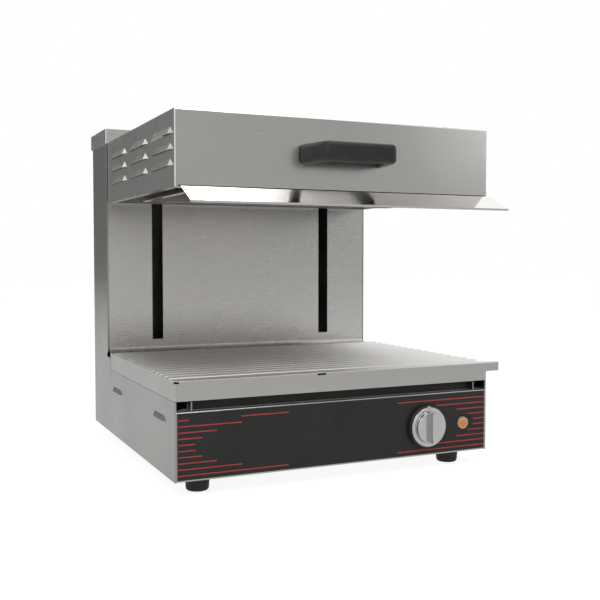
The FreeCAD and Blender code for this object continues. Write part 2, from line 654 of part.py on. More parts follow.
def top_plate():
    """Ribbed cooking plate with deep skirts and a grip lug at its right front corner."""
    upper = rib_profile(PLATE_TOP, RIB_WIDTH / 2, RIB_RISE)
    lower = rib_profile(PLATE_TOP - PLATE_SHEET, RIB_WIDTH / 2 - PLATE_SHEET / 2, RIB_RISE)
    closing = [Part.LineSegment(Vector(0, y, PLATE_TOP), Vector(0, y, PLATE_TOP - PLATE_SHEET)).toShape()
               for y in (PLATE_BACK_Y, FRONT_Y)]
    face = Part.Face(Part.Wire(Part.__sortEdges__(upper + lower + closing)))
    face.translate(Vector(-HALF_WIDTH, 0, 0))
    ribbed = face.extrude(Vector(BODY_WIDTH, 0, 0))
    skirts = [block(-HALF_WIDTH, HALF_WIDTH, FRONT_Y, FRONT_Y + PLATE_SHEET, BASE_HEIGHT, PLATE_TOP),
              block(-HALF_WIDTH, HALF_WIDTH, PLATE_BACK_Y, PLATE_BACK_Y - PLATE_SHEET, PLATE_TOP - FLANGE,
                    PLATE_TOP)]
    for side in (-1, 1):
        skirts.append(block(side * HALF_WIDTH, side * (HALF_WIDTH - PLATE_SHEET), FRONT_Y, PLATE_BACK_Y,
                            BASE_HEIGHT, PLATE_TOP))
    shape = ribbed.fuse(skirts + [grip_lug()]).removeSplitter()
    shape = shape.makeFillet(PLATE_CORNER, long_edges(shape, "z", [(-HALF_WIDTH, FRONT_Y)]))
    slot = block(PLATE_SLOT_X - PLATE_SLOT_WIDTH / 2, PLATE_SLOT_X + PLATE_SLOT_WIDTH / 2, FRONT_Y - OVERRUN,
                 FRONT_Y + PLATE_SHEET + OVERRUN, PLATE_TOP - PLATE_SLOT_HEIGHT, PLATE_TOP + OVERRUN)
    outside_x = -HALF_WIDTH - OVERRUN
    outside_y = FRONT_Y - OVERRUN
    notch_outline = [(outside_x, outside_y), (-HALF_WIDTH + CORNER_NOTCH, outside_y),
                     (-HALF_WIDTH + CORNER_NOTCH, FRONT_Y), (-HALF_WIDTH, FRONT_Y + CORNER_NOTCH),
                     (outside_x, FRONT_Y + CORNER_NOTCH)]
    notch = prism(notch_outline, "z", PLATE_TOP - CORNER_NOTCH_DROP, PLATE_TOP + OVERRUN)
    return shape.cut([slot, notch])


def grip_lug():
    """Hollow lug that runs past the right side, open below and mitred at the back."""
    reach = HALF_WIDTH + GRIP_REACH
    back = FRONT_Y + GRIP_DEPTH
    half_back = FRONT_Y + GRIP_DEPTH / 2
    outline = [(HALF_WIDTH, FRONT_Y), (reach, FRONT_Y), (reach, half_back), (HALF_WIDTH, back)]
    solid = prism(outline, "z", PLATE_TOP - GRIP_DROP, PLATE_TOP)
    solid = solid.makeFillet(PLATE_CORNER, long_edges(solid, "z", [(reach, FRONT_Y), (reach, half_back)]))
    t = PLATE_SHEET
    hollow = prism([(HALF_WIDTH, FRONT_Y + t), (reach - t, FRONT_Y + t), (reach - t, half_back - t),
                    (HALF_WIDTH, back - t)], "z", PLATE_TOP - GRIP_DROP - OVERRUN, PLATE_TOP - t)
    return solid.cut(hollow)


def louvre_starts():
    first = FRONT_Y + LOUVRE_FIRST_SETBACK
    return [first + i * LOUVRE_PITCH for i in range(LOUVRES_PER_ROW)]


def hood_shell():
    """Front and top of the hood in one sheet, wrapped a little round its front corners."""
    t = HOOD_SHEET
    side_x = HOOD_HALF - t
    front_y = FRONT_Y + t
    outer = block(-HOOD_HALF, HOOD_HALF, FRONT_Y, HOOD_BACK_Y, HOOD_BOTTOM, HOOD_TOP)
    outer_bends = long_edges(outer, "z", [(-HOOD_HALF, FRONT_Y), (HOOD_HALF, FRONT_Y)])
    outer = outer.makeFillet(BEND + t, outer_bends + long_edges(outer, "x", [(FRONT_Y, HOOD_TOP)]))
    inner = block(-side_x, side_x, front_y, HOOD_BACK_Y + OVERRUN, HOOD_BOTTOM - OVERRUN, HOOD_TOP - t)
    inner_bends = long_edges(inner, "z", [(-side_x, front_y), (side_x, front_y)])
    inner = inner.makeFillet(BEND, inner_bends + long_edges(inner, "x", [(front_y, HOOD_TOP - t)]))
    open_sides = [block(side * (HOOD_HALF + OVERRUN), side * (side_x - BEND), FRONT_Y + HOOD_WRAP,
                        HOOD_BACK_Y + OVERRUN, HOOD_BOTTOM - OVERRUN, HOOD_TOP - t) for side in (-1, 1)]
    lip_half = side_x - BEND - SEAT_GAP
    lip = block(-lip_half, lip_half, front_y, FRONT_Y + HOOD_LIP, HOOD_BOTTOM, HOOD_BOTTOM + t)
    shape = outer.cut([inner] + open_sides).fuse(lip)
    places = []
    for i in range(TOP_LOUVRE_COLUMNS):
        offset = TOP_LOUVRE_INNER_X + i * TOP_LOUVRE_PITCH
        for x0 in (-offset, offset):
            places += [top_place(x0, y0, HOOD_TOP) for y0 in louvre_starts()]
    return with_louvres(shape, places, LOUVRE_LENGTH, LOUVRE_HEIGHT, LOUVRE_WIDTH, LOUVRE_END_RUN, HOOD_SHEET)


def hood_side(side):
    """Louvred side sheet of the hood, flanged in at its top and back."""
    outer = side * HOOD_HALF
    inner = side * (HOOD_HALF - HOOD_SHEET)
    flange = side * (HOOD_HALF - HOOD_FLANGE)
    front = FRONT_Y + HOOD_WRAP + SEAT_GAP
    flange_back = HOOD_BACK_Y - HOOD_SHEET - SEAT_GAP
    top = HOOD_TOP - HOOD_SHEET
    wall = block(outer, inner, front, HOOD_BACK_Y, HOOD_BOTTOM, top)
    top_flange = block(inner, flange, front, flange_back, top - HOOD_SHEET, top)
    low_flange = block(inner, flange, FRONT_Y + HOOD_LIP + SEAT_GAP, flange_back, HOOD_BOTTOM,
                       HOOD_BOTTOM + HOOD_SHEET)
    shape = wall.fuse([top_flange, low_flange])
    places = []
    for row in range(LOUVRE_ROWS):
        z0 = HOOD_BOTTOM + LOUVRE_LOW_ROW + row * LOUVRE_ROW_PITCH
        places += [side_place(side, HOOD_HALF, y0, z0) for y0 in louvre_starts()]
    return with_louvres(shape, places, LOUVRE_LENGTH, LOUVRE_HEIGHT, LOUVRE_WIDTH, LOUVRE_END_RUN, HOOD_SHEET)


def hood_rear():
    """Rear sheet of the hood with two tall cut-outs for the lifting arms."""
    half = HOOD_HALF - HOOD_SHEET - SEAT_GAP
    top = HOOD_TOP - HOOD_SHEET
    shape = block(-half, half, HOOD_BACK_Y - HOOD_SHEET, HOOD_BACK_Y, HOOD_BOTTOM, top - SEAT_GAP)
    foot = block(-half + HOOD_FLANGE, half - HOOD_FLANGE, HOOD_BACK_Y - HOOD_FLANGE, HOOD_BACK_Y - HOOD_SHEET,
                 HOOD_BOTTOM, HOOD_BOTTOM + HOOD_SHEET)
    cuts = [block(side * SLOT_CENTRE - REAR_CUTOUT_WIDTH / 2, side * SLOT_CENTRE + REAR_CUTOUT_WIDTH / 2,
                  HOOD_BACK_Y - HOOD_SHEET - OVERRUN, HOOD_BACK_Y + OVERRUN,
                  HOOD_BOTTOM + REAR_RAIL_HEIGHT, top + OVERRUN) for side in (-1, 1)]
    return shape.fuse(foot).cut(cuts)


def visor():
    """Bent shield below the hood's front edge: level ledge, slope and folded lower hem."""
    half = HOOD_HALF - VISOR_INSET
    seat = HOOD_BOTTOM - SEAT_GAP
    root_y = FRONT_Y + HOOD_LIP
    ledge_y = FRONT_Y - VISOR_LEDGE
    tip_y = ledge_y - VISOR_REACH
    tip_z = seat - VISOR_DROP
    slope = math.hypot(VISOR_REACH, VISOR_DROP)
    outline = [(root_y, seat), (ledge_y, seat), (tip_y, tip_z)]
    shape = folded(outline, VISOR_SHEET, "x", -half, half, side=1)
    back = VISOR_HEM_LENGTH / slope
    hem_y = tip_y + VISOR_REACH * back
    hem_z = tip_z + VISOR_DROP * back
    drop = VISOR_HEM * slope / VISOR_REACH
    hem_outline = [(tip_y, tip_z), (hem_y, hem_z), (hem_y, hem_z - drop), (tip_y, tip_z - drop)]
    return shape.fuse(prism(hem_outline, "x", -half, half))


def reflector_box():
    """Front, back and side limits of the reflector."""
    front = FRONT_Y + REFLECTOR_FRONT_MARGIN
    return -REFLECTOR_HALF_WIDTH, REFLECTOR_HALF_WIDTH, front, front + REFLECTOR_DEPTH


def element_centres():
    x0, x1, y0, y1 = reflector_box()
    middle = (y0 + y1) / 2
    return [middle + (i - (ELEMENT_COUNT - 1) / 2) * ELEMENT_PITCH for i in range(ELEMENT_COUNT)]


def reflector():
    """Open-bottomed tray with sloping sides above the elements and a small outward lip."""
    x0, x1, y0, y1 = reflector_box()
    low = HOOD_BOTTOM - REFLECTOR_BELOW_HOOD
    slope = (REFLECTOR_TOP - low) / 2
    t = REFLECTOR_SHEET
    outer = prism([(y0, low), (y0, REFLECTOR_TOP - slope), (y0 + slope, REFLECTOR_TOP),
                   (y1 - slope, REFLECTOR_TOP), (y1, REFLECTOR_TOP - slope), (y1, low)], "x", x0, x1)
    hollow = prism([(y0 + t, low - OVERRUN), (y0 + t, REFLECTOR_TOP - slope - t / 2),
                    (y0 + slope + t / 2, REFLECTOR_TOP - t), (y1 - slope - t / 2, REFLECTOR_TOP - t),
                    (y1 - t, REFLECTOR_TOP - slope - t / 2), (y1 - t, low - OVERRUN)], "x", x0 + t, x1 - t)
    shape = outer.cut(hollow)
    lips = [block(x0 - REFLECTOR_LIP, x0, y0, y1, low, low + t),
            block(x1, x1 + REFLECTOR_LIP, y0, y1, low, low + t),
            block(x0, x1, y1, y1 + REFLECTOR_LIP, low, low + t)]
    holes = []
    z = low + ELEMENT_RISE
    for centre in element_centres():
        for end in (-1, 1):
            y = centre + end * ELEMENT_LEG_SPACING / 2
            holes.append(rod("x", ELEMENT_RADIUS + SEAT_GAP, x1 - ELEMENT_STUB, x1 + OVERRUN, y, z))
    return shape.fuse(lips).cut(holes)


def heating_element(centre):
    """Hairpin tube: two legs through the right wall and a half-turn at the left."""
    x0, x1, y0, y1 = reflector_box()
    z = HOOD_BOTTOM - REFLECTOR_BELOW_HOOD + ELEMENT_RISE
    turn_x = x0 + ELEMENT_END_MARGIN + ELEMENT_LEG_SPACING / 2
    half = ELEMENT_LEG_SPACING / 2
    end_x = x1 + ELEMENT_STUB
    legs = [rod("x", ELEMENT_RADIUS, turn_x, end_x, centre + side * half, z) for side in (-1, 1)]
    circle = Part.Wire(Part.makeCircle(ELEMENT_RADIUS, Vector(turn_x, centre - half, z), Vector(1, 0, 0)))
    turn = Part.Face(circle).revolve(Vector(turn_x, centre, z), Vector(0, 0, 1), -180)
    return legs[0].fuse([turn, legs[1]])


def element_terminals():
    """Ceramic beads on the ends of the element legs."""
    x0, x1, y0, y1 = reflector_box()
    z = HOOD_BOTTOM - REFLECTOR_BELOW_HOOD + ELEMENT_RISE
    start = x1 + SEAT_GAP
    end = start + TERMINAL_LENGTH
    beads = []
    for centre in element_centres():
        for side in (-1, 1):
            y = centre + side * ELEMENT_LEG_SPACING / 2
            bead = rod("x", TERMINAL_RADIUS, start, end, y, z)
            beads.append(bead.cut(rod("x", ELEMENT_RADIUS, start - OVERRUN, end + OVERRUN, y, z)))
    return Part.makeCompound(beads)


def element_support(side):
    """Hanging strip with an eye for each element leg."""
    x = side * SUPPORT_X
    z = HOOD_BOTTOM - REFLECTOR_BELOW_HOOD + ELEMENT_RISE
    t = REFLECTOR_SHEET
    half = ELEMENT_RADIUS + SUPPORT_MARGIN
    centres = element_centres()
    start = centres[0] - ELEMENT_LEG_SPACING / 2 - half
    end = centres[-1] + ELEMENT_LEG_SPACING / 2 + half
    strip = block(x, x + SUPPORT_SHEET, start, end, z - half, z + half)
    posts = [block(x, x + SUPPORT_SHEET, c - half, c + half, z, REFLECTOR_TOP - t) for c in centres]
    shape = strip.fuse(posts)
    holes = []
    for c in centres:
        for leg in (-1, 1):
            holes.append(rod("x", ELEMENT_RADIUS + EYE_CLEARANCE, x - OVERRUN, x + SUPPORT_SHEET + OVERRUN,
                             c + leg * ELEMENT_LEG_SPACING / 2, z))
    return shape.cut(holes)


def reflector_hangers():
    """Four straps that hold the reflector up to the top of the hood."""
    x0, x1, y0, y1 = reflector_box()
    slope = (REFLECTOR_TOP - (HOOD_BOTTOM - REFLECTOR_BELOW_HOOD)) / 2
    top = HOOD_TOP - HOOD_SHEET
    straps = []
    for side in (-1, 1):
        for y in (y0 + slope + HANGER_WIDTH, y1 - slope - HANGER_WIDTH):
            x = side * HANGER_X
            upright = block(x, x + SHEET, y - HANGER_WIDTH / 2, y + HANGER_WIDTH / 2, REFLECTOR_TOP, top)
            feet = [block(x - side * FLANGE, x, y - HANGER_WIDTH / 2, y + HANGER_WIDTH / 2, z, z + SHEET)
                    for z in (REFLECTOR_TOP, top - SHEET)]
            straps.append(upright.fuse(feet))
    return Part.makeCompound(straps)


def handle_z():
    return (HOOD_BOTTOM + HOOD_TOP) / 2


def handle():
    """Moulded grip with slanted ends, closed above and open below for the fingers."""
    z0 = handle_z() - HANDLE_HEIGHT / 2
    z1 = z0 + HANDLE_HEIGHT
    tip = FRONT_Y - HANDLE_REACH
    base_half = HANDLE_BASE_WIDTH / 2
    front_half = HANDLE_FRONT_WIDTH / 2
    outline = [(-base_half, FRONT_Y), (-front_half, tip), (front_half, tip), (base_half, FRONT_Y)]
    shape = prism(outline, "z", z0, z1)
    slanted = [edge for edge in shape.Edges if tip + BEND < edge.CenterOfMass.y < FRONT_Y - BEND]
    shape = shape.makeFillet(HANDLE_CORNER, slanted)
    face_rim = [edge for edge in shape.Edges if all(abs(v.Y - tip) < NEAR for v in edge.Vertexes)]
    shape = shape.makeFillet(HANDLE_EDGE, face_rim)
    w = HANDLE_WALL
    inside = [(-base_half + w, FRONT_Y + OVERRUN), (-front_half + w, tip + w), (front_half - w, tip + w),
              (base_half - w, FRONT_Y + OVERRUN)]
    hollow = prism(inside, "z", z0 - OVERRUN, z1 - w)
    hollow = hollow.makeFillet(HANDLE_WALL, long_edges(hollow, "z", inside[1:3]))
    shape = shape.cut(hollow)
    bosses = []
    holes = []
    boss_z = z1 - w - HANDLE_BOSS_RADIUS
    screw_tip = FRONT_Y - HANDLE_SCREW_LENGTH
    boss_tip = FRONT_Y - HANDLE_BOSS_LENGTH
    for side in (-1, 1):
        x = side * HANDLE_SCREW_X
        bosses.append(rod("y", HANDLE_BOSS_RADIUS, boss_tip, FRONT_Y, x, boss_z))
        bosses.append(block(x - w / 2, x + w / 2, boss_tip, FRONT_Y, boss_z, z1 - w / 2))
        holes.append(rod("y", HANDLE_SCREW_RADIUS, screw_tip, FRONT_Y + OVERRUN, x, boss_z))
    return shape.fuse(bosses).cut(holes)


def handle_screws():
    """Two screws from inside the hood into the bosses of the handle."""
    boss_z = handle_z() + HANDLE_HEIGHT / 2 - HANDLE_WALL - HANDLE_BOSS_RADIUS
    seat = FRONT_Y + HOOD_SHEET
    screws = []
    for side in (-1, 1):
        x = side * HANDLE_SCREW_X
        shank = rod("y", HANDLE_SCREW_RADIUS, FRONT_Y - HANDLE_SCREW_LENGTH, seat, x, boss_z)
        head = rod("y", HANDLE_SCREW_HEAD, seat, seat + HANDLE_SCREW_RADIUS, x, boss_z)
        screws.append(shank.fuse(head))
    return Part.makeCompound(screws)


def screw_holes_in_front(shape):
    """Clear the handle screws through the front of the hood."""
    boss_z = handle_z() + HANDLE_HEIGHT / 2 - HANDLE_WALL - HANDLE_BOSS_RADIUS
    return shape.cut([rod("y", HANDLE_SCREW_RADIUS, FRONT_Y - OVERRUN, FRONT_Y + HOOD_SHEET + OVERRUN,
                          side * HANDLE_SCREW_X, boss_z) for side in (-1, 1)])


def carriage_front():
    return COLUMN_FRONT_Y + SHEET + CARRIAGE_GAP


def lift_arm(side):
    """Tapered plate from the carriage through the slot to the top of the hood."""
    back = carriage_front()
    tip = COLUMN_FRONT_Y - ARM_REACH
    top = HOOD_TOP - HOOD_SHEET
    shoulder = ARM_BOTTOM + ARM_HEIGHT
    rise_y = HOOD_BACK_Y - HOOD_SHEET - FLANGE
    top_y = rise_y - FLANGE
    outline = [(back, ARM_BOTTOM), (back, shoulder), (rise_y, shoulder), (top_y, top), (tip, top),
               (tip, top - ARM_TIP_HEIGHT), (top_y, ARM_BOTTOM)]
    root = SLOT_CENTRE - ARM_THICKNESS / 2
    web = prism(outline, "x", side * root, side * (root + ARM_THICKNESS))
    flange = block(side * root, side * (root + ARM_TOP_FLANGE), tip, top_y, top - HEM, top)
    return web.fuse(flange)


def carriage_plate():
    """Cross plate with two housings that run on the guide rods and two rope lugs."""
    y0 = carriage_front()
    y1 = y0 + CARRIAGE_SHEET
    z0 = ARM_BOTTOM
    z1 = ARM_BOTTOM + ARM_HEIGHT
    rod_y = COLUMN_FRONT_Y + ROD_Y_INSET
    parts = []
    for side in (-1, 1):
        x = side * ROD_X
        parts.append(block(x - HOUSING_HALF, x + HOUSING_HALF, y1, rod_y + HOUSING_HALF, z0, z1))
        low_x = side * PULLEY_X - EYE_RADIUS
        high_x = side * PULLEY_X + EYE_RADIUS
        parts.append(block(low_x, high_x, y1, rope_front_y() + EYE_RADIUS, z0, z0 + LUG_HEIGHT))
    plate = block(-CARRIAGE_HALF_WIDTH, CARRIAGE_HALF_WIDTH, y0, y1, z0, z1).fuse(parts)
    bores = [rod("z", BUSH_RADIUS, z0 - OVERRUN, z1 + OVERRUN, side * ROD_X, rod_y) for side in (-1, 1)]
    return plate.cut(bores)


def bush(side):
    """Flanged plain bush in the carriage, running on a guide rod."""
    z0 = ARM_BOTTOM
    z1 = ARM_BOTTOM + ARM_HEIGHT
    rod_y = COLUMN_FRONT_Y + ROD_Y_INSET
    sleeve = rod("z", BUSH_RADIUS, z0, z1, side * ROD_X, rod_y)
    rim = rod("z", BUSH_RADIUS + HEM, z1, z1 + SHEET, side * ROD_X, rod_y)
    bore = rod("z", ROD_RADIUS + BUSH_CLEARANCE, z0 - OVERRUN, z1 + SHEET + OVERRUN, side * ROD_X, rod_y)
    return sleeve.fuse(rim).cut(bore)


def guide_rod(side):
    top = COLUMN_HEIGHT - ROD_TOP_MARGIN
    return rod("z", ROD_RADIUS, SHEET, top, side * ROD_X, COLUMN_FRONT_Y + ROD_Y_INSET)


def rod_bar(z0):
    """Cross bar that holds both guide rods."""
    rod_y = COLUMN_FRONT_Y + ROD_Y_INSET
    half = ROD_X + HOUSING_HALF
    depth = ROD_BAR_HALF_DEPTH
    shape = block(-half, half, rod_y - depth, rod_y + depth, z0, z0 + ROD_BAR_HEIGHT)
    bores = [rod("z", ROD_RADIUS, z0 - OVERRUN, z0 + ROD_BAR_HEIGHT + OVERRUN, side * ROD_X, rod_y)
             for side in (-1, 1)]
    return shape.cut(bores)


def rod_bar_top():
    """The upper bar, with two angled tabs screwed to the inside of the column front."""
    z0 = COLUMN_HEIGHT - ROD_TOP_MARGIN - ROD_BAR_HEIGHT
    bar_front = COLUMN_FRONT_Y + ROD_Y_INSET - ROD_BAR_HALF_DEPTH
    seat = COLUMN_FRONT_Y + SHEET
    tabs = []
    for side in (-1, 1):
        x0 = side * ROD_TAB_X - ROD_TAB_WIDTH / 2
        x1 = x0 + ROD_TAB_WIDTH
        tabs.append(block(x0, x1, seat, bar_front + BEND, z0, z0 + ROD_TAB_SHEET))
        tabs.append(block(x0, x1, seat, seat + ROD_TAB_SHEET, z0, z0 + FLANGE))
    return rod_bar(z0).fuse(tabs)


def rope_front_y():
    return rope_back_y() - 2 * (PULLEY_RADIUS - PULLEY_RIM + ROPE_RADIUS + ROPE_CLEARANCE)


def rope_back_y():
    return BACK_Y - SHEET - WEIGHT_DEPTH / 2 - HANGER_WIDTH / 2


def pulley_y():
    return (rope_front_y() + rope_back_y()) / 2


def counterweight():
    """Cast block that balances the hood, with two rope eyes."""
    y = rope_back_y()
    half = WEIGHT_DEPTH / 2
    top = WEIGHT_BOTTOM + WEIGHT_HEIGHT
    body = block(-WEIGHT_HALF_WIDTH, WEIGHT_HALF_WIDTH, y - half, y + half, WEIGHT_BOTTOM, top)
    body = body.makeChamfer(WEIGHT_CHAMFER, body.Edges)
    eyes = [rod("z", EYE_RADIUS, top - BEND, top + EYE_HEIGHT, side * PULLEY_X, y) for side in (-1, 1)]
    return body.fuse(eyes)


def pulley(side):
    """Grooved wheel, turned about X."""
    half = PULLEY_HALF_WIDTH
    rim = PULLEY_RADIUS
    groove = rim - PULLEY_RIM
    bore = AXLE_RADIUS + PULLEY_BORE_CLEARANCE
    x = side * PULLEY_X
    y = pulley_y()
    outline = [(-half, bore), (-half, rim), (-half / 2, rim), (-ROPE_RADIUS, groove), (ROPE_RADIUS, groove),
               (half / 2, rim), (half, rim), (half, bore)]
    corners = [Vector(x + u, y, PULLEY_Z + v) for u, v in outline]
    face = Part.Face(Part.makePolygon(corners + corners[:1]))
    return face.revolve(Vector(0, y, PULLEY_Z), Vector(1, 0, 0), 360)


def cheek_outer():
    return PULLEY_HALF_WIDTH + CHEEK_GAP + CHEEK_SHEET


def pulley_bracket(side):
    """Channel on the rear panel whose two cheeks carry the axle."""
    x = side * PULLEY_X
    back = BACK_Y - SHEET
    front = pulley_y() - BRACKET_HALF
    low = PULLEY_Z - BRACKET_HALF
    high = PULLEY_Z + BRACKET_HALF
    outer = block(x - cheek_outer(), x + cheek_outer(), front, back, low, high)
    room = PULLEY_HALF_WIDTH + CHEEK_GAP
    inner = block(x - room, x + room, front - OVERRUN, back - CHEEK_SHEET, low - OVERRUN, high + OVERRUN)
    reach = cheek_outer() + OVERRUN
    return outer.cut([inner, rod("x", AXLE_RADIUS, x - reach, x + reach, pulley_y(), PULLEY_Z)])


def pulley_axle(side):
    x = side * PULLEY_X
    reach = cheek_outer()
    pin = rod("x", AXLE_RADIUS, x - reach, x + reach, pulley_y(), PULLEY_Z)
    head = rod("x", AXLE_RADIUS + HEM, x + reach, x + reach + HEM, pulley_y(), PULLEY_Z)
    return pin.fuse(head)


def ropes_front():
    """The two rope legs from the carriage lugs up to the pulleys."""
    lug_top = ARM_BOTTOM + LUG_HEIGHT
    return Part.makeCompound([rod("z", ROPE_RADIUS, lug_top, PULLEY_Z, side * PULLEY_X, rope_front_y())
                              for side in (-1, 1)])


def ropes_back():
    """The two rope legs from the pulleys down to the counterweight's eyes."""
    eye_top = WEIGHT_BOTTOM + WEIGHT_HEIGHT + EYE_HEIGHT
    return Part.makeCompound([rod("z", ROPE_RADIUS, eye_top, PULLEY_Z, side * PULLEY_X, rope_back_y())
                              for side in (-1, 1)])


def rope_bows():
    """The half turns of both ropes over their pulleys."""
    bows = []
    for side in (-1, 1):
        start = Vector(side * PULLEY_X, rope_front_y(), PULLEY_Z)
        section = Part.Face(Part.Wire(Part.makeCircle(ROPE_RADIUS, start, Vector(0, 0, 1))))
        bows.append(section.revolve(Vector(side * PULLEY_X, pulley_y(), PULLEY_Z), Vector(1, 0, 0), -180))
    return Part.makeCompound(bows)


def knob_skirt():
    """Black dial behind the metal knob."""
    back = FRONT_Y - OVERLAY_THICKNESS - KNOB_RUNNING_GAP
    front = back - SKIRT_DEPTH
    shape = rod("y", SKIRT_RADIUS, front, back, KNOB_X, CONTROL_Z)
    rim = [edge for edge in shape.Edges if abs(edge.CenterOfMass.y - front) < NEAR]
    shape = shape.makeChamfer(BEND, rim)
    return shape.cut(rod("y", SHAFT_RADIUS, front - OVERRUN, back + OVERRUN, KNOB_X, CONTROL_Z))


def knob_grip():
    """Metal disc with a raised hub, a tapered finger bar across it, and a pointer nose with its groove."""
    back = FRONT_Y - OVERLAY_THICKNESS - KNOB_RUNNING_GAP - SKIRT_DEPTH
    front = back - KNOB_DISC_DEPTH
    hub_front = front - KNOB_HUB_DEPTH
    tip = hub_front - KNOB_BAR_DEPTH
    disc = rod("y", KNOB_DISC_RADIUS, front, back, KNOB_X, CONTROL_Z)
    rim = [edge for edge in disc.Edges if abs(edge.CenterOfMass.y - front) < NEAR]
    disc = disc.makeFillet(KNOB_EDGE, rim)
    hub = Part.makeCone(KNOB_HUB_RADIUS, KNOB_HUB_RADIUS - KNOB_HUB_TAPER, KNOB_HUB_DEPTH,
                        Vector(KNOB_X, front, CONTROL_Z), Vector(0, -1, 0))
    hub_rim = [edge for edge in hub.Edges if abs(edge.CenterOfMass.y - hub_front) < NEAR]
    hub = hub.makeFillet(KNOB_EDGE, hub_rim)
    half = KNOB_BAR_HALF
    slim = half - KNOB_BAR_TAPER
    inside = hub_front + BEND
    bar_outline = [(KNOB_X - half, inside), (KNOB_X - slim, tip), (KNOB_X + slim, tip),
                   (KNOB_X + half, inside)]
    bar = prism(bar_outline, "z", CONTROL_Z - KNOB_HUB_RADIUS, CONTROL_Z + KNOB_HUB_RADIUS)
    bar = bar.common(rod("y", KNOB_BAR_REACH, tip - OVERRUN, back, KNOB_X, CONTROL_Z))
    nose_base = CONTROL_Z + KNOB_DISC_RADIUS - KNOB_EDGE
    nose_half = KNOB_NOSE_WIDTH / 2
    nose_outline = [(KNOB_X - nose_half, nose_base), (KNOB_X, CONTROL_Z + SKIRT_RADIUS),
                    (KNOB_X + nose_half, nose_base)]
    nose = prism(nose_outline, "y", front + KNOB_EDGE, back)
    groove = block(KNOB_X - KNOB_MARK_WIDTH / 2, KNOB_X + KNOB_MARK_WIDTH / 2, front - OVERRUN,
                   front + KNOB_MARK_DEPTH, CONTROL_Z + KNOB_HUB_RADIUS, nose_base)
    shaft_hole = rod("y", SHAFT_RADIUS, front, back + OVERRUN, KNOB_X, CONTROL_Z)
    return disc.fuse([hub, bar, nose]).cut([groove, shaft_hole])


def knob_shaft():
    """Spindle of the regulator."""
    front = FRONT_Y - OVERLAY_THICKNESS - KNOB_RUNNING_GAP - SKIRT_DEPTH - KNOB_DISC_DEPTH
    return rod("y", SHAFT_RADIUS, front, FRONT_Y + SHEET + SHAFT_INSIDE, KNOB_X, CONTROL_Z)


def regulator_body():
    """Energy regulator on the back of the control front, bored for its spindle."""
    half = REGULATOR_SIZE / 2
    y0 = FRONT_Y + SHEET
    x0 = KNOB_X - half
    x1 = KNOB_X + half
    z0 = CONTROL_Z - half
    z1 = CONTROL_Z + half
    shape = block(x0, x1, y0, y0 + REGULATOR_DEPTH, z0, z1)
    corners = [(x0, z0), (x1, z0), (x0, z1), (x1, z1)]
    shape = shape.makeFillet(REGULATOR_CORNER, long_edges(shape, "y", corners))
    radius = SHAFT_RADIUS + SHAFT_CLEARANCE
    return shape.cut(rod("y", radius, y0 - OVERRUN, y0 + SHAFT_INSIDE + BEND, KNOB_X, CONTROL_Z))


def lamp_bezel():
    """Pilot lamp housing with a flange in front and a barrel behind."""
    back = FRONT_Y - OVERLAY_THICKNESS
    flange = rod("y", LAMP_BEZEL_RADIUS, back - LAMP_BEZEL_DEPTH, back, LAMP_X, CONTROL_Z)
    rim = [edge for edge in flange.Edges if abs(edge.CenterOfMass.y - back + LAMP_BEZEL_DEPTH) < NEAR]
    flange = flange.makeFillet(BEND, rim)
    barrel = rod("y", LAMP_HOLE_RADIUS, back, back + LAMP_BODY_LENGTH, LAMP_X, CONTROL_Z)
    pocket = rod("y", LAMP_LENS_RADIUS, back - LAMP_BEZEL_DEPTH - OVERRUN, back - BEND, LAMP_X, CONTROL_Z)
    return flange.fuse(barrel).cut(pocket)


def lamp_lens():
    """Domed lens in the pocket of the bezel."""
    seat = FRONT_Y - OVERLAY_THICKNESS - BEND
    face = FRONT_Y - OVERLAY_THICKNESS - LAMP_BEZEL_DEPTH
    radius = LAMP_LENS_RADIUS
    base = rod("y", radius, face, seat, LAMP_X, CONTROL_Z)
    sphere_radius = (radius ** 2 + LAMP_LENS_RISE ** 2) / (2 * LAMP_LENS_RISE)
    ball = Part.makeSphere(sphere_radius, Vector(LAMP_X, face - LAMP_LENS_RISE + sphere_radius, CONTROL_Z))
    dome = ball.common(rod("y", radius, face - LAMP_LENS_RISE - OVERRUN, face, LAMP_X, CONTROL_Z))
    return base.fuse(dome)


def terminal_block():
    """Mains terminal block on the base pan near the gland."""
    y1 = BACK_Y - SHEET - GLAND_INSIDE * 2
    x0 = TERMINAL_BLOCK_RIGHT - TERMINAL_BLOCK_LENGTH
    top = SHEET + TERMINAL_BLOCK_HEIGHT
    shape = block(x0, x0 + TERMINAL_BLOCK_LENGTH, y1 - TERMINAL_BLOCK_WIDTH, y1, SHEET, top)
    wells = []
    for i in range(TERMINAL_COUNT):
        x = x0 + TERMINAL_BLOCK_LENGTH * (i + 0.5) / TERMINAL_COUNT
        wells.append(rod("z", TERMINAL_WELL_RADIUS, top - TERMINAL_BLOCK_HEIGHT / 2, top + OVERRUN, x,
                         y1 - TERMINAL_BLOCK_WIDTH / 2))
    return shape.cut(wells)


def cable_gland():
    """Cord inlet through the rear panel."""
    y0 = BACK_Y - SHEET - GLAND_INSIDE
    neck = rod("y", GLAND_BORE_RADIUS + GLAND_FLANGE, y0, BACK_Y, GLAND_X, GLAND_Z)
    nut = rod("y", GLAND_RADIUS, y0 + GLAND_INSIDE - GLAND_FLANGE * 2, BACK_Y - SHEET, GLAND_X, GLAND_Z)
    head = rod("y", GLAND_RADIUS, BACK_Y, BACK_Y + GLAND_OUTSIDE, GLAND_X, GLAND_Z)
    end = [edge for edge in head.Edges if abs(edge.CenterOfMass.y - BACK_Y - GLAND_OUTSIDE) < NEAR]
    head = head.makeChamfer(BEND * 2, end)
    bore = rod("y", GLAND_BORE_RADIUS, y0 - OVERRUN, BACK_Y + GLAND_OUTSIDE + OVERRUN, GLAND_X, GLAND_Z)
    return neck.fuse([nut, head]).cut(bore)


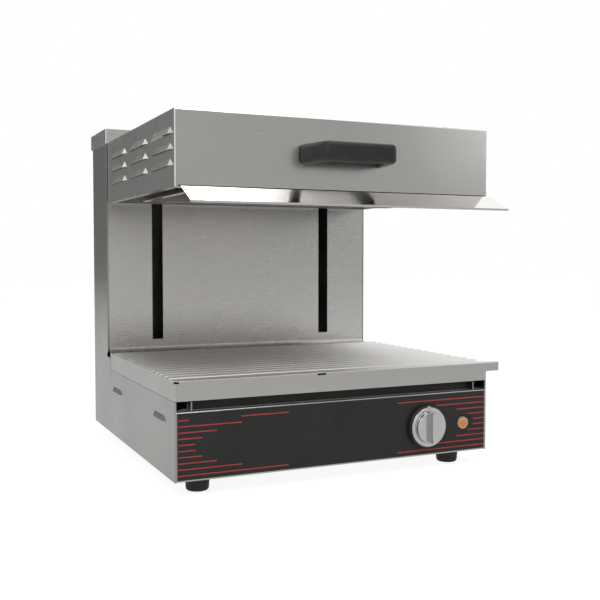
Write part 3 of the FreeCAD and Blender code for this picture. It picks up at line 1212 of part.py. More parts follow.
def foot(x, y):
    """Round black foot, a little narrower below."""
    shape = Part.makeCone(FOOT_RADIUS - FOOT_TAPER, FOOT_RADIUS, FOOT_HEIGHT, Vector(x, y, -FOOT_HEIGHT))
    rim = [edge for edge in shape.Edges if abs(edge.CenterOfMass.z + FOOT_HEIGHT) < NEAR]
    shape = shape.makeFillet(FOOT_ROUND, rim)
    return shape.cut(rod("z", STUD_RADIUS, -STUD_LENGTH, OVERRUN, x, y))


def foot_studs():
    """Threaded studs that hold the feet to the pan, each with a nut inside."""
    studs = []
    for x, y in foot_places():
        shank = rod("z", STUD_RADIUS, -STUD_LENGTH, SHEET + NUT_HEIGHT, x, y)
        nut = rod("z", NUT_RADIUS, SHEET, SHEET + NUT_HEIGHT, x, y)
        studs.append(shank.fuse(nut))
    return Part.makeCompound(studs)


def parts():
    """Every sub-part by its node name."""
    made = {
        "side_panel_left": side_panel(-1),
        "side_panel_right": side_panel(1),
        "column_front_panel": column_front_panel(),
        "back_panel": back_panel(),
        "column_cap": column_cap(),
        "base_pan": base_pan(),
        "fascia_panel": fascia_panel(),
        "fascia_overlay": fascia_overlay(),
        "tray_deck": deck(),
        "tray_runner_left": tray_runner(-1),
        "tray_runner_right": tray_runner(1),
        "drip_tray": drip_tray(),
        "top_plate": top_plate(),
        "hood_shell": screw_holes_in_front(hood_shell()),
        "hood_side_left": hood_side(-1),
        "hood_side_right": hood_side(1),
        "hood_rear": hood_rear(),
        "hood_visor": visor(),
        "reflector": reflector(),
        "reflector_hangers": reflector_hangers(),
        "element_support_left": element_support(-1),
        "element_support_right": element_support(1),
        "element_terminals": element_terminals(),
        "handle": handle(),
        "handle_screws": handle_screws(),
        "lift_arm_left": lift_arm(-1),
        "lift_arm_right": lift_arm(1),
        "carriage_plate": carriage_plate(),
        "bush_left": bush(-1),
        "bush_right": bush(1),
        "guide_rod_left": guide_rod(-1),
        "guide_rod_right": guide_rod(1),
        "rod_bar_top": rod_bar_top(),
        "rod_bar_bottom": rod_bar(SHEET),
        "counterweight": counterweight(),
        "pulley_left": pulley(-1),
        "pulley_right": pulley(1),
        "pulley_bracket_left": pulley_bracket(-1),
        "pulley_bracket_right": pulley_bracket(1),
        "pulley_axle_left": pulley_axle(-1),
        "pulley_axle_right": pulley_axle(1),
        "ropes_front": ropes_front(),
        "ropes_back": ropes_back(),
        "rope_bows": rope_bows(),
        "knob_skirt": knob_skirt(),
        "knob_grip": knob_grip(),
        "knob_shaft": knob_shaft(),
        "regulator_body": regulator_body(),
        "lamp_bezel": lamp_bezel(),
        "lamp_lens": lamp_lens(),
        "terminal_block": terminal_block(),
        "cable_gland": cable_gland(),
        "foot_studs": foot_studs(),
    }
    for i, centre in enumerate(element_centres()):
        made["heating_element_%d" % (i + 1)] = heating_element(centre)
    names = ["foot_front_left", "foot_rear_left", "foot_front_right", "foot_rear_right"]
    for name, (x, y) in zip(names, foot_places()):
        made[name] = foot(x, y)
    return made


os.makedirs("parts", exist_ok=True)
for node, shape in parts().items():
    shape.exportStep("parts/%s.step" % node)
    print(node, "solids", len(shape.Solids), "valid", shape.isValid(), "volume mm3", round(shape.Volume))
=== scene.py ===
# %% [markdown]
# A cheese melter for a commercial kitchen, dressed and lit
#
# The object is a heating hood that slides up and down a rear column, over a
# ribbed steel plate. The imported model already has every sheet, rod and knob at
# its real size, so this lesson does what is left. It stands the camera where
# the photograph was taken, gives each surface its finish, adds the trim that is
# too small for the solid model, makes the handle and the rope legs anew, and
# builds a small studio round the object.

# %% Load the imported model
import math

import bpy
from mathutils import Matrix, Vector


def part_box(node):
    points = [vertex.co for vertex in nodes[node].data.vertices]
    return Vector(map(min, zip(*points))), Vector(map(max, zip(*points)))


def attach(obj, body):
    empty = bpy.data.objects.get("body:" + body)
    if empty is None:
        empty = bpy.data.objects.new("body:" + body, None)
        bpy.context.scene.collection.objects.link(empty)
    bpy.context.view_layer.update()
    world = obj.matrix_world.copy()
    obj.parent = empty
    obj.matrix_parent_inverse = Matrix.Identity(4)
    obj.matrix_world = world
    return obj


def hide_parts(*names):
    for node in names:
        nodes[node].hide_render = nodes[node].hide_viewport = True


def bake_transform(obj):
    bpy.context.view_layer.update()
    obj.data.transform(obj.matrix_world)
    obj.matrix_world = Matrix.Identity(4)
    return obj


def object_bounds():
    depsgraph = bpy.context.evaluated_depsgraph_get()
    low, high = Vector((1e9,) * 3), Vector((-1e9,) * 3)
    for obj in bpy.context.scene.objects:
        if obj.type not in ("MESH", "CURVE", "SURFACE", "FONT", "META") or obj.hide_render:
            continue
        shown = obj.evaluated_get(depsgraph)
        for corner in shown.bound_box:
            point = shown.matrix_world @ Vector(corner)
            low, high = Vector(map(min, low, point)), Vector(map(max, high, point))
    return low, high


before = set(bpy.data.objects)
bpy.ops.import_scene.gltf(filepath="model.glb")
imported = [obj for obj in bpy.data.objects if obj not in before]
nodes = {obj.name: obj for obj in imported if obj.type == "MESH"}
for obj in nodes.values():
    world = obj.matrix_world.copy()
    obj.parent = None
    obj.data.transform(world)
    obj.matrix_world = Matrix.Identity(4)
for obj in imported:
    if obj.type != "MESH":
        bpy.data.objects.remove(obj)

cad_low, cad_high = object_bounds()
MILLIMETRES_IN_METRE = 1000


def millimetres(lengths):
    """Lengths in metres as whole millimetres, for printing."""
    return [round(MILLIMETRES_IN_METRE * length) for length in lengths]


print("nodes", len(nodes), "size in mm", millimetres(cad_high - cad_low))

# %% [markdown]
# The camera
#
# The place and direction were found by fitting the object's straight edges to
# the photograph. Edges that run away from us meet at points that fix how far
# off the camera stands, and so the lens. A camera could be set by eye, but then
# its errors look like errors of the object. A small shift moves the picture
# without turning the camera, as the photograph was cropped a little off centre.
# An unturned camera looks straight down, and 90 degrees make it look level.

# %% The camera
CAMERA_PLACE = (-0.6970, -1.6278, 0.3576)
CAMERA_YAW = 24.89
CAMERA_PITCH = 2.57
LOOKS_LEVEL = 90.0
SENSOR = 36.0
LENS = 52.55
SHIFT_RIGHT = -0.0008
SHIFT_UP = -0.0054
SEES_AS_FAR_AS = 60.0


def add_camera():
    data = bpy.data.cameras.new("photo_camera")
    data.sensor_width = SENSOR
    data.lens = LENS
    data.shift_x = SHIFT_RIGHT
    data.shift_y = SHIFT_UP
    data.clip_end = SEES_AS_FAR_AS
    camera = bpy.data.objects.new("photo_camera", data)
    camera.location = CAMERA_PLACE
    camera.rotation_euler = (math.radians(LOOKS_LEVEL - CAMERA_PITCH), 0.0, math.radians(-CAMERA_YAW))
    bpy.context.scene.collection.objects.link(camera)
    bpy.context.scene.camera = camera


add_camera()
print("camera at", CAMERA_PLACE, "lens", LENS)

# %% [markdown]
# Small helpers for shader nodes
#
# A real surface is never one flat colour. A finish here is a few noise patterns
# that change the colour, the roughness and the height of the surface by small
# amounts. Pictures of such surfaces would do it too, but patterns need no files
# and fit any shape. Each helper adds a node or two and gives back the output,
# so that a finish reads from top to bottom like a recipe. All patterns read
# Object coordinates: the meshes lie at their real places in metres, so a scale
# of 1000 means about one wave per millimetre.

# %% Helpers for noise patterns
OPAQUE = 1.0
FINE_DETAIL = 2.0
MIDDLE_DETAIL = 3.0
CLOUD_DETAIL = 4.0
CLOUD_ROUGHNESS = 0.6
NOISE_ROUGHNESS = 0.5
NOISE_LOW = 0.3
NOISE_HIGH = 0.7


def new_finish(name, roughness, metallic=0.0):
    """A material with a Principled shader, ready for patterns."""
    material = bpy.data.materials.new(name)
    material.use_nodes = True
    tree = material.node_tree
    shader = tree.nodes["Principled BSDF"]
    shader.inputs["Roughness"].default_value = roughness
    shader.inputs["Metallic"].default_value = metallic
    return material, tree, shader


def object_coordinates(tree, scale=(1.0, 1.0, 1.0)):
    """Object coordinates, stretched by a scale for each axis."""
    source = tree.nodes.new("ShaderNodeTexCoord")
    mapping = tree.nodes.new("ShaderNodeMapping")
    mapping.inputs["Scale"].default_value = scale
    tree.links.new(source.outputs["Object"], mapping.inputs["Vector"])
    return mapping.outputs["Vector"]


def coordinate(tree, axis):
    """How far a point lies along X, Y or Z, in metres."""
    source = tree.nodes.new("ShaderNodeTexCoord")
    parts = tree.nodes.new("ShaderNodeSeparateXYZ")
    tree.links.new(source.outputs["Object"], parts.inputs["Vector"])
    return parts.outputs[axis]


def noise(tree, vector, scale=1.0, detail=FINE_DETAIL, roughness=NOISE_ROUGHNESS):
    """A noise pattern, mostly between NOISE_LOW and NOISE_HIGH."""
    node = tree.nodes.new("ShaderNodeTexNoise")
    node.inputs["Scale"].default_value = scale
    node.inputs["Detail"].default_value = detail
    node.inputs["Roughness"].default_value = roughness
    tree.links.new(vector, node.inputs["Vector"])
    return node.outputs["Fac"]


def cloudy(tree, vector, scale):
    """Soft clouds, for stains, dust and wiping marks."""
    return noise(tree, vector, scale, CLOUD_DETAIL, CLOUD_ROUGHNESS)


print("pattern helpers ready")

# %% [markdown]
# Using a pattern
#
# A pattern is only a number at each point. These helpers stretch it to the range
# that is wanted, add it to another, blend two colours by it, or raise the
# surface by it. A Mix node has sockets of one name for numbers, vectors and
# colours, so its colour sockets are reached by their place in the list.

# %% Helpers for colour, gloss and relief
MIX_COLOUR_INPUTS = (6, 7)
MIX_COLOUR_RESULT = 2


def feed(tree, socket, value):
    """Give a socket another node's output, a colour or a number."""
    if isinstance(value, bpy.types.NodeSocket):
        tree.links.new(value, socket)
    elif isinstance(value, tuple):
        socket.default_value = (*value, OPAQUE)
    else:
        socket.default_value = value


def spread(tree, value, low, high, start=NOISE_LOW, end=NOISE_HIGH):
    """A value's range from start to end, spread from low to high."""
    node = tree.nodes.new("ShaderNodeMapRange")
    node.inputs["From Min"].default_value = start
    node.inputs["From Max"].default_value = end
    node.inputs["To Min"].default_value = low
    node.inputs["To Max"].default_value = high
    tree.links.new(value, node.inputs["Value"])
    return node.outputs["Result"]


def around(tree, pattern, middle, reach):
    """A pattern as small changes to both sides of a middle value."""
    return spread(tree, pattern, middle - reach, middle + reach)


def calculated(tree, operation, *values):
    """A Math node's result from numbers or other nodes' outputs."""
    node = tree.nodes.new("ShaderNodeMath")
    node.operation = operation
    for socket, value in zip(node.inputs, values):
        feed(tree, socket, value)
    return node.outputs["Value"]


def blended(tree, factor, first, second):
    """A colour between two colours, each a value or another node's output."""
    node = tree.nodes.new("ShaderNodeMix")
    node.data_type = "RGBA"
    tree.links.new(factor, node.inputs["Factor"])
    for place, colour in zip(MIX_COLOUR_INPUTS, (first, second)):
        feed(tree, node.inputs[place], colour)
    return node.outputs[MIX_COLOUR_RESULT]


def mottled(tree, pattern, first, second, share=1.0):
    """The first colour, changed to the second by up to a share where the pattern is high."""
    return blended(tree, spread(tree, pattern, 0.0, share), first, second)


def raised(tree, height, distance):
    """A bump of that height in metres."""
    node = tree.nodes.new("ShaderNodeBump")
    node.inputs["Distance"].default_value = distance
    tree.links.new(height, node.inputs["Height"])
    return node.outputs["Normal"]


def cover(tree, shader, colour, roughness, relief):
    """Give the shader its colour, its roughness and its relief."""
    tree.links.new(colour, shader.inputs["Base Color"])
    tree.links.new(roughness, shader.inputs["Roughness"])
    tree.links.new(relief, shader.inputs["Normal"])


def shaded(colour, share):
    """The colour made darker or lighter by a share."""
    return tuple(min(1.0, part * share) for part in colour)


def grey(tone):
    """A colour with equal red, green and blue."""
    return (tone, tone, tone)


print("colour helpers ready")

# %% [markdown]
# Brushed stainless steel
#
# Kitchen sheet is ground with a belt, which leaves fine lines all one way. On
# the real sheet they widen reflections, and at arm's length one sees a soft
# streak in the tone. Single scratches could be modelled, but they are far
# smaller than a pixel. A noise pattern squeezed across the grain and drawn out
# along it gives the same lines at once. Two slow patterns add what handling
# leaves: faint wiping marks in the gloss and small changes of tone.

# %% Brushed stainless steel
STEEL = (0.46, 0.45, 0.435)
GRAIN_ALONG = 6.0
GRAIN_ACROSS = 900.0
GRAIN_CONTRAST = 0.015
GRAIN_GLOSS = 0.02
GRAIN_DEPTH = 0.0000025
STREAK_ALONG = 1.5
STREAK_ACROSS = 120.0
STREAK_SHARE = 0.5
WIPING_SCALE = 9.0
WIPING_GLOSS = 0.03
WIPING_TONE = 0.92
WIPING_SHARE = 0.25


def drawn_out(tree, axis, along, across):
    """Coordinates for a pattern of lines that run along an axis."""
    return object_coordinates(tree, tuple(along if name == axis else across for name in "xyz"))


def brushed_steel(name, colour, roughness, axis, contrast=GRAIN_CONTRAST):
    """Sheet ground along an axis. The contrast is the grain's change of tone, as a share."""
    material, tree, shader = new_finish(name, roughness, metallic=1.0)
    lines = noise(tree, drawn_out(tree, axis, GRAIN_ALONG, GRAIN_ACROSS))
    streaks = noise(tree, drawn_out(tree, axis, STREAK_ALONG, STREAK_ACROSS), detail=MIDDLE_DETAIL)
    clouds = cloudy(tree, object_coordinates(tree), WIPING_SCALE)
    darker = shaded(colour, 1.0 - contrast)
    grained = mottled(tree, lines, darker, shaded(colour, 1.0 + contrast))
    streaked = mottled(tree, streaks, grained, darker, STREAK_SHARE)
    toned = mottled(tree, clouds, streaked, shaded(colour, WIPING_TONE), WIPING_SHARE)
    grain_gloss = around(tree, lines, roughness, GRAIN_GLOSS)
    wiping_gloss = around(tree, clouds, 0.0, WIPING_GLOSS)
    gloss = calculated(tree, "ADD", grain_gloss, wiping_gloss)
    cover(tree, shader, toned, gloss, raised(tree, lines, GRAIN_DEPTH))
    return material


# Each sheet's tone as a share of STEEL, its roughness, and the axis that it is ground along. The tones
# make lit and shaded copies of the one steel: the fronts, the hood and its sides are painted lighter as
# painted light, the visor far lighter as a painted highlight, the column's sides darker as painted shade,
# and the inner parts much darker as painted shade inside the housing.
SHEETS_WITH_PAINTED_LIGHT = {
    "front": (1.38, 0.28, "x"),
    "side": (0.85, 0.30, "z"),
    "hood_side": (1.28, 0.28, "z"),
    "hood": (1.52, 0.22, "x"),
    "fascia": (1.05, 0.26, "x"),
    "plate": (1.05, 0.32, "x"),
    "visor": (2.05, 0.11, "x"),
    "inner": (0.5, 0.42, "x"),
}
REFLECTOR = (0.78, 0.77, 0.75)
FASTENER = (0.5, 0.5, 0.49)
steel = {
    name: brushed_steel("steel_" + name, shaded(STEEL, tone), roughness, axis)
    for name, (tone, roughness, axis) in SHEETS_WITH_PAINTED_LIGHT.items()
}
reflector_steel = brushed_steel("steel_reflector", REFLECTOR, roughness=0.16, axis="x", contrast=0.04)
fastener_steel = brushed_steel("steel_fastener", FASTENER, roughness=0.3, axis="y")
print("sheet finishes", len(steel))

# %% [markdown]
# The scoured cooking surface, with painted light
#
# The ribbed top of the plate is scraped and scoured after every dish, so it is more matt than its own
# skirts. Its colour is also made paler, as painted light that lifts it out of the hood's shadow. The
# plate is one sheet and one mesh. It could be cut in two for two materials, but one material that changes
# over with height leaves the mesh alone. The change runs over the last two millimetres of the skirt,
# below the ribs.

# %% The scoured cooking surface, with painted light
PAINTED_LIGHT_AND_SCOUR_FROM = 0.1600
PAINTED_LIGHT_AND_SCOUR_FULL = 0.1618
# The top's colour, paler than the steel: painted light that lifts it out of the hood's shadow.
TOP_PAINTED_LIGHT_COLOUR = (0.70, 0.687, 0.67)
SCOURED_ROUGHNESS = 0.5
SCOURED_GLOSS = 0.06
SCRATCHES = (40.0, 700.0, 40.0)


def scour_and_paint_light(material):
    """Make the part above a height more matt, and paler as painted light, over the finish that is there.
    """
    tree = material.node_tree
    shader = tree.nodes["Principled BSDF"]
    height = spread(tree, coordinate(tree, "Z"), 0.0, 1.0, PAINTED_LIGHT_AND_SCOUR_FROM, PAINTED_LIGHT_AND_SCOUR_FULL)
    colour_before = shader.inputs["Base Color"].links[0].from_socket
    tree.links.new(blended(tree, height, colour_before, TOP_PAINTED_LIGHT_COLOUR), shader.inputs["Base Color"])
    scratches = noise(tree, object_coordinates(tree, SCRATCHES), detail=MIDDLE_DETAIL)
    gloss = tree.nodes.new("ShaderNodeMix")
    tree.links.new(height, gloss.inputs["Factor"])
    tree.links.new(shader.inputs["Roughness"].links[0].from_socket, gloss.inputs["A"])
    tree.links.new(around(tree, scratches, SCOURED_ROUGHNESS, SCOURED_GLOSS), gloss.inputs["B"])
    tree.links.new(gloss.outputs["Result"], shader.inputs["Roughness"])


scour_and_paint_light(steel["plate"])
print("cooking surface scoured above", PAINTED_LIGHT_AND_SCOUR_FROM)

# %% [markdown]
# Moulded plastic, rubber and printed film
#
# The handle, the knob's skirt and the feet are black mouldings with the fine
# grain that a spark-eroded mould leaves. A fine bump gives that grain, and a
# little dust in slow clouds keeps the black from looking empty. The control
# front is covered by a polyester film, which the same recipe makes smoother,
# with a faint orange-peel wave.

# %% Moulded plastic and film
MOULD_GRAIN = 1400.0
MOULD_DEPTH = 0.00004
MOULD_GLOSS = 0.05
DUST = 0.04
DUST_TONE = 0.35
DUST_SCALE = 14.0
SHINE = 0.3
CERAMIC = (0.78, 0.75, 0.68)
FILM = (0.02, 0.0195, 0.019)


def moulded(name, colour, roughness, grain=MOULD_GRAIN, depth=MOULD_DEPTH, dust=DUST, shine=SHINE):
    """A moulding with a fine grain. Dust takes its colour a share of the way to DUST_TONE."""
    material, tree, shader = new_finish(name, roughness)
    shader.inputs["Specular IOR Level"].default_value = shine
    place = object_coordinates(tree)
    fine = noise(tree, place, grain)
    clouds = cloudy(tree, place, DUST_SCALE)
    dusty = tuple(part + dust * max(0.0, DUST_TONE - part) for part in colour)
    grain_gloss = around(tree, fine, roughness, MOULD_GLOSS)
    dust_gloss = around(tree, clouds, 0.0, MOULD_GLOSS)
    gloss = calculated(tree, "ADD", grain_gloss, dust_gloss)
    cover(tree, shader, mottled(tree, clouds, colour, dusty), gloss, raised(tree, fine, depth))
    return material


# Each moulding's colour and roughness.
MOULDINGS = {
    "handle": (grey(0.013), 0.42),
    "knob": (grey(0.016), 0.4),
    "foot": (grey(0.02), 0.55),
    "regulator": (grey(0.06), 0.45),
    "gland": (grey(0.03), 0.45),
    "pulley": ((0.68, 0.65, 0.58), 0.4),
}
plastic = {
    name: moulded("plastic_" + name, colour, roughness) for name, (colour, roughness) in MOULDINGS.items()
}
ceramic = moulded("ceramic_terminal", CERAMIC, roughness=0.6, grain=900.0)
film = moulded("film_fascia", FILM, roughness=0.34, grain=260.0, depth=0.00001, dust=0.02, shine=0.22)
print("plastics", len(plastic))

# %% [markdown]
# The drip tray's enamel and painted shade
#
# The tray is coated with dark enamel, which flows away from sharp edges and is soon rubbed off where the
# sides slide in the runners. Its colour is made near black, darker than the enamel, as painted shade of
# the recess under the plate where it sits. The two side edges are bare steel. As on the plate, one
# material changes over by place, here at a set distance from the middle, so that the tray stays one mesh.

# %% The drip tray's enamel and painted shade
TRAY_EDGE_X = 0.2705
# Near black: dark enamel, with painted shade of the recess.
ENAMEL_WITH_PAINTED_SHADE = (0.012, 0.011, 0.01)
ENAMEL_WORN = 1.8
ENAMEL_WEAR_SCALE = 25.0
ENAMEL_ROUGHNESS = 0.4
ENAMEL_GLOSS = 0.06
ENAMEL_SHINE = 0.2
ENAMEL_GRAIN = 700.0
ENAMEL_DEPTH = 0.00003
BARE_EDGE = (0.3, 0.295, 0.285)


def enamelled():
    material, tree, shader = new_finish("enamel_tray_painted_shade", ENAMEL_ROUGHNESS)
    shader.inputs["Specular IOR Level"].default_value = ENAMEL_SHINE
    place = object_coordinates(tree)
    clouds = cloudy(tree, place, ENAMEL_WEAR_SCALE)
    fine = noise(tree, place, ENAMEL_GRAIN)
    from_middle = calculated(tree, "ABSOLUTE", coordinate(tree, "X"))
    edge = calculated(tree, "GREATER_THAN", from_middle, TRAY_EDGE_X)
    coated = mottled(tree, clouds, ENAMEL_WITH_PAINTED_SHADE, shaded(ENAMEL_WITH_PAINTED_SHADE, ENAMEL_WORN))
    colour = blended(tree, edge, coated, BARE_EDGE)
    gloss = around(tree, fine, ENAMEL_ROUGHNESS, ENAMEL_GLOSS)
    cover(tree, shader, colour, gloss, raised(tree, fine, ENAMEL_DEPTH))
    tree.links.new(edge, shader.inputs["Metallic"])
    return material


tray_enamel_and_shade = enamelled()
print("tray enamel ready")

# %% [markdown]
# Metals that aren't sheet
#
# The heating tubes have turned dark and brown in use. The counterweight is a
# rough casting, the guide rods are ground and chromed, the bushes are turned
# brass, and the knob's grip is satin aluminium. Each could have a recipe of its
# own, but they differ only in colour, stain, roughness and grain, so one recipe
# with a table serves them all.

# %% Cast, turned and oxidised metals
STAIN_SCALE = 35.0
METAL_GLOSS = 0.08


def rough_metal(name, colour, stain, roughness, grain, depth, metallic):
    """Metal that isn't brushed, with cloudy stains and a fine grain."""
    material, tree, shader = new_finish(name, roughness, metallic)
    place = object_coordinates(tree)
    fine = noise(tree, place, grain, MIDDLE_DETAIL)
    clouds = cloudy(tree, place, STAIN_SCALE)
    gloss = around(tree, fine, roughness, METAL_GLOSS)
    cover(tree, shader, mottled(tree, clouds, colour, stain), gloss, raised(tree, fine, depth))
    return material


# Each metal's colour, stain, roughness, grain, depth of grain in metres, and share of metal.
METALS = {
    "heated": ((0.16, 0.15, 0.14), (0.24, 0.17, 0.12), 0.45, 900.0, 0.00003, 1.0),
    "cast": ((0.05, 0.052, 0.055), (0.08, 0.078, 0.075), 0.6, 500.0, 0.0003, 0.2),
    "chrome": (grey(0.82), (0.76, 0.76, 0.77), 0.1, 1200.0, 0.000004, 1.0),
    "brass": ((0.72, 0.55, 0.27), (0.6, 0.44, 0.2), 0.25, 1200.0, 0.00001, 1.0),
    "rope": (grey(0.5), (0.38, 0.37, 0.36), 0.35, 1500.0, 0.0002, 1.0),
    "knob": ((0.56, 0.555, 0.55), (0.5, 0.495, 0.49), 0.18, 2200.0, 0.000008, 1.0),
}
metal = {name: rough_metal("metal_" + name, *values) for name, values in METALS.items()}
print("other metals", len(metal))

# %% [markdown]
# The pilot lamp
#
# The lens is orange acrylic that lets some light through. Its bezel is paler, a clear amber ring. A glass
# shader alone would look dark, because the housing behind it is dark, so both get a little painted glow
# of their own, which stands for the light that gathers in the facets.

# %% The pilot lamp
LENS_ORANGE = (0.62, 0.2, 0.03)
BEZEL_AMBER = (0.5, 0.38, 0.24)
FACET_SCALE = 330.0
FACET_DEPTH = 0.0002
FACET_DARK = 0.75
FACET_BRIGHT = 1.2


def amber(name, colour, roughness, glow, letting):
    """Clear coloured plastic with facets, with a painted glow, that lets light through; glow and letting
    are two shares.
    """
    material, tree, shader = new_finish(name, roughness)
    shader.inputs["Emission Color"].default_value = (*colour, OPAQUE)
    shader.inputs["Emission Strength"].default_value = glow
    shader.inputs["Transmission Weight"].default_value = letting
    facets = noise(tree, object_coordinates(tree), FACET_SCALE)
    toned = mottled(tree, facets, shaded(colour, FACET_DARK), shaded(colour, FACET_BRIGHT))
    tree.links.new(toned, shader.inputs["Base Color"])
    tree.links.new(raised(tree, facets, FACET_DEPTH), shader.inputs["Normal"])
    return material


lens_finish = amber("lamp_lens_orange", LENS_ORANGE, roughness=0.12, glow=0.25, letting=0.2)
bezel_finish = amber("lamp_bezel_amber", BEZEL_AMBER, roughness=0.2, glow=0.05, letting=0.1)
print("lamp ready")

# %% [markdown]
# Giving the finishes to the nodes
#
# A node keeps its mesh and gets a better material in each of its slots. Fronts
# are ground from side to side, and side panels from top to bottom, so the grain
# turns at the corners. Many nodes come in left and right pairs that share a
# finish, so a helper gives both names.


# %% Finishes on the nodes
def dress(material, *names):
    """Put the material in every slot of the nodes."""
    for name in names:
        slots = nodes[name].data.materials
        for index in range(len(slots)):
            slots[index] = material


def both(stem):
    """The names of a left and a right node."""
    return stem + "_left", stem + "_right"


# Fronts, sides, the visor and the inner parts get lit and shaded copies of the steel, with painted light
# and shade in their tones.
dress(steel["side"], *both("side_panel"), "back_panel")
dress(steel["hood_side"], *both("hood_side"))
dress(steel["front"], "column_front_panel", "column_cap", "base_pan")
dress(steel["fascia"], "fascia_panel")
dress(steel["hood"], "hood_shell", "hood_rear")
dress(steel["visor"], "hood_visor")
dress(steel["plate"], "top_plate")
dress(steel["inner"], "tray_deck", *both("tray_runner"), "reflector_hangers", *both("element_support"))
dress(steel["inner"], *both("lift_arm"), "carriage_plate", "rod_bar_top", "rod_bar_bottom")
dress(steel["inner"], *both("pulley_bracket"))
dress(reflector_steel, "reflector")
dress(fastener_steel, "handle_screws", *both("pulley_axle"), "knob_shaft", "foot_studs")
dress(tray_enamel_and_shade, "drip_tray")
dress(film, "fascia_overlay")
dress(plastic["handle"], "handle")
dress(plastic["knob"], "knob_skirt")
dress(plastic["foot"], *both("foot_front"), *both("foot_rear"))
dress(plastic["regulator"], "regulator_body", "terminal_block")
dress(plastic["gland"], "cable_gland")
dress(plastic["pulley"], *both("pulley"))
dress(ceramic, "element_terminals")
dress(metal["heated"], "heating_element_1", "heating_element_2", "heating_element_3")
dress(metal["cast"], "counterweight")
dress(metal["chrome"], *both("guide_rod"))
dress(metal["brass"], *both("bush"))
dress(metal["rope"], "ropes_front", "ropes_back", "rope_bows")
dress(metal["knob"], "knob_grip")
dress(lens_finish, "lamp_lens")
dress(bezel_finish, "lamp_bezel")
print("dressed", len(nodes))

# %% [markdown]
# Working by hand, in code
#
# New pieces are made as one would make them in the window: a primitive is added
# at its size and place, shaped in edit mode and finished with modifiers. A mesh
# could also be written point by point, but these steps can be followed by hand.
# An operator acts on all that is selected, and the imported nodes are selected
# after loading, so everything is deselected first. A finished piece sits at the
# origin with its place in its mesh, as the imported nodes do, so that patterns on
# Object coordinates lie alike on all of them.


# %% Working by hand, in code
def in_edit_mode(action):
    """Run an editing step on everything of the active object."""
    bpy.ops.object.mode_set(mode="EDIT")
    bpy.ops.mesh.select_all(action="SELECT")
    action()
    bpy.ops.object.mode_set(mode="OBJECT")


def keep_place_in_mesh(piece):
    """Leave the object at the origin, unturned and unscaled, with the form in its mesh."""
    bpy.ops.object.select_all(action="DESELECT")
    piece.select_set(True)
    bpy.context.view_layer.objects.active = piece
    bpy.ops.object.transform_apply(location=True, rotation=True, scale=True)


def add_block(centre, sizes):
    """A block round a centre, with its sizes along x, y and z."""
    bpy.ops.object.select_all(action="DESELECT")
    bpy.ops.mesh.primitive_cube_add(size=1.0, location=centre)
    block = bpy.context.object
    block.scale = sizes
    keep_place_in_mesh(block)
    return block


def soften_edges(width, steps):
    """Round every edge of the active object."""
    in_edit_mode(lambda: bpy.ops.mesh.bevel(offset=width, segments=steps, affect="EDGES"))


def joined(pieces, name):
    """One object of several, named and with its own finished mesh."""
    bpy.ops.object.select_all(action="DESELECT")
    for piece in pieces:
        piece.select_set(True)
    bpy.context.view_layer.objects.active = pieces[0]
    if len(pieces) > 1:
        bpy.ops.object.join()
    whole = bpy.context.object
    whole.name = name
    keep_place_in_mesh(whole)
    in_edit_mode(lambda: bpy.ops.mesh.normals_make_consistent(inside=False))
    return whole


print("editing steps ready")

# %% [markdown]
# The printed stripes
#
# Ten red lines are screen-printed on the film at each side and stop short of a
# long oval in the middle, which stays bare. So one rule gives every end: at a
# row's height, the oval is this wide. The top left line has a gap. The lines
# could be drawn by the film's material, but ink stands up a few hundredths of a
# millimetre, and a thin bar with softened edges stays crisp from near and far.

# %% The printed stripes
ROW_COUNT = 10
ROW_PITCH = 0.00986
ROW_MIDDLE = 0.0549
OVAL_MIDDLE = 0.0025
OVAL_HALF_WIDTH = 0.270
OVAL_HALF_HEIGHT = 0.0482
STRIPE_HEIGHT = 0.002
STRIPE_START = -0.2945
STRIPE_END = 0.2952
GAP_START = -0.277
GAP_END = -0.1876
FILM_FACE = -0.3006
INK_RED = (0.40, 0.038, 0.042)
INK_THICKNESS = 0.0001
INK_SUNK = 0.00005
INK_EDGE = 0.00003
INK_EDGE_STEPS = 2


def oval_half_width(z):
    across = (z - ROW_MIDDLE) / OVAL_HALF_HEIGHT
    return OVAL_HALF_WIDTH * math.sqrt(1.0 - across * across)


def stripe_spans(row, z):
    """Where a row's lines start and end, from left to right."""
    left_end = OVAL_MIDDLE - oval_half_width(z)
    right_start = OVAL_MIDDLE + oval_half_width(z)
    if row == 0:
        return (STRIPE_START, GAP_START), (GAP_END, left_end), (right_start, STRIPE_END)
    return (STRIPE_START, left_end), (right_start, STRIPE_END)


def ink_bar(start, end, z):
    """One printed line: a thin bar with softened edges."""
    middle_y = FILM_FACE + INK_SUNK - INK_THICKNESS / 2
    bar = add_block(((start + end) / 2, middle_y, z), (end - start, INK_THICKNESS, STRIPE_HEIGHT))
    soften_edges(INK_EDGE, INK_EDGE_STEPS)
    return bar


def ink_bars():
    bars = []
    for row in range(ROW_COUNT):
        z = ROW_MIDDLE + ((ROW_COUNT - 1) / 2 - row) * ROW_PITCH
        bars += [ink_bar(start, end, z) for start, end in stripe_spans(row, z)]
    return bars


ink = moulded("ink_red", INK_RED, roughness=0.4, grain=600.0, depth=0.00001, dust=0.06, shine=0.25)
stripes = joined(ink_bars(), "fascia_stripes")
stripes.data.materials.append(ink)
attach(stripes, "body")
print("stripes", ROW_COUNT, "rows, faces", len(stripes.data.polygons))

# %% [markdown]
# The handle as an open bow
#
# The bright visor under the hood mirrors what stands above it. It shows two
# dark bands, the handle's arms, with light between them. So the handle is a bow
# that is open above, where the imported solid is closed. The bow takes its place
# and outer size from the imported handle. It could be a bent tube, but its outer
# faces are flat. So a block is tapered towards the front, its long corners are
# rounded, and a smaller tapered block cuts the space.

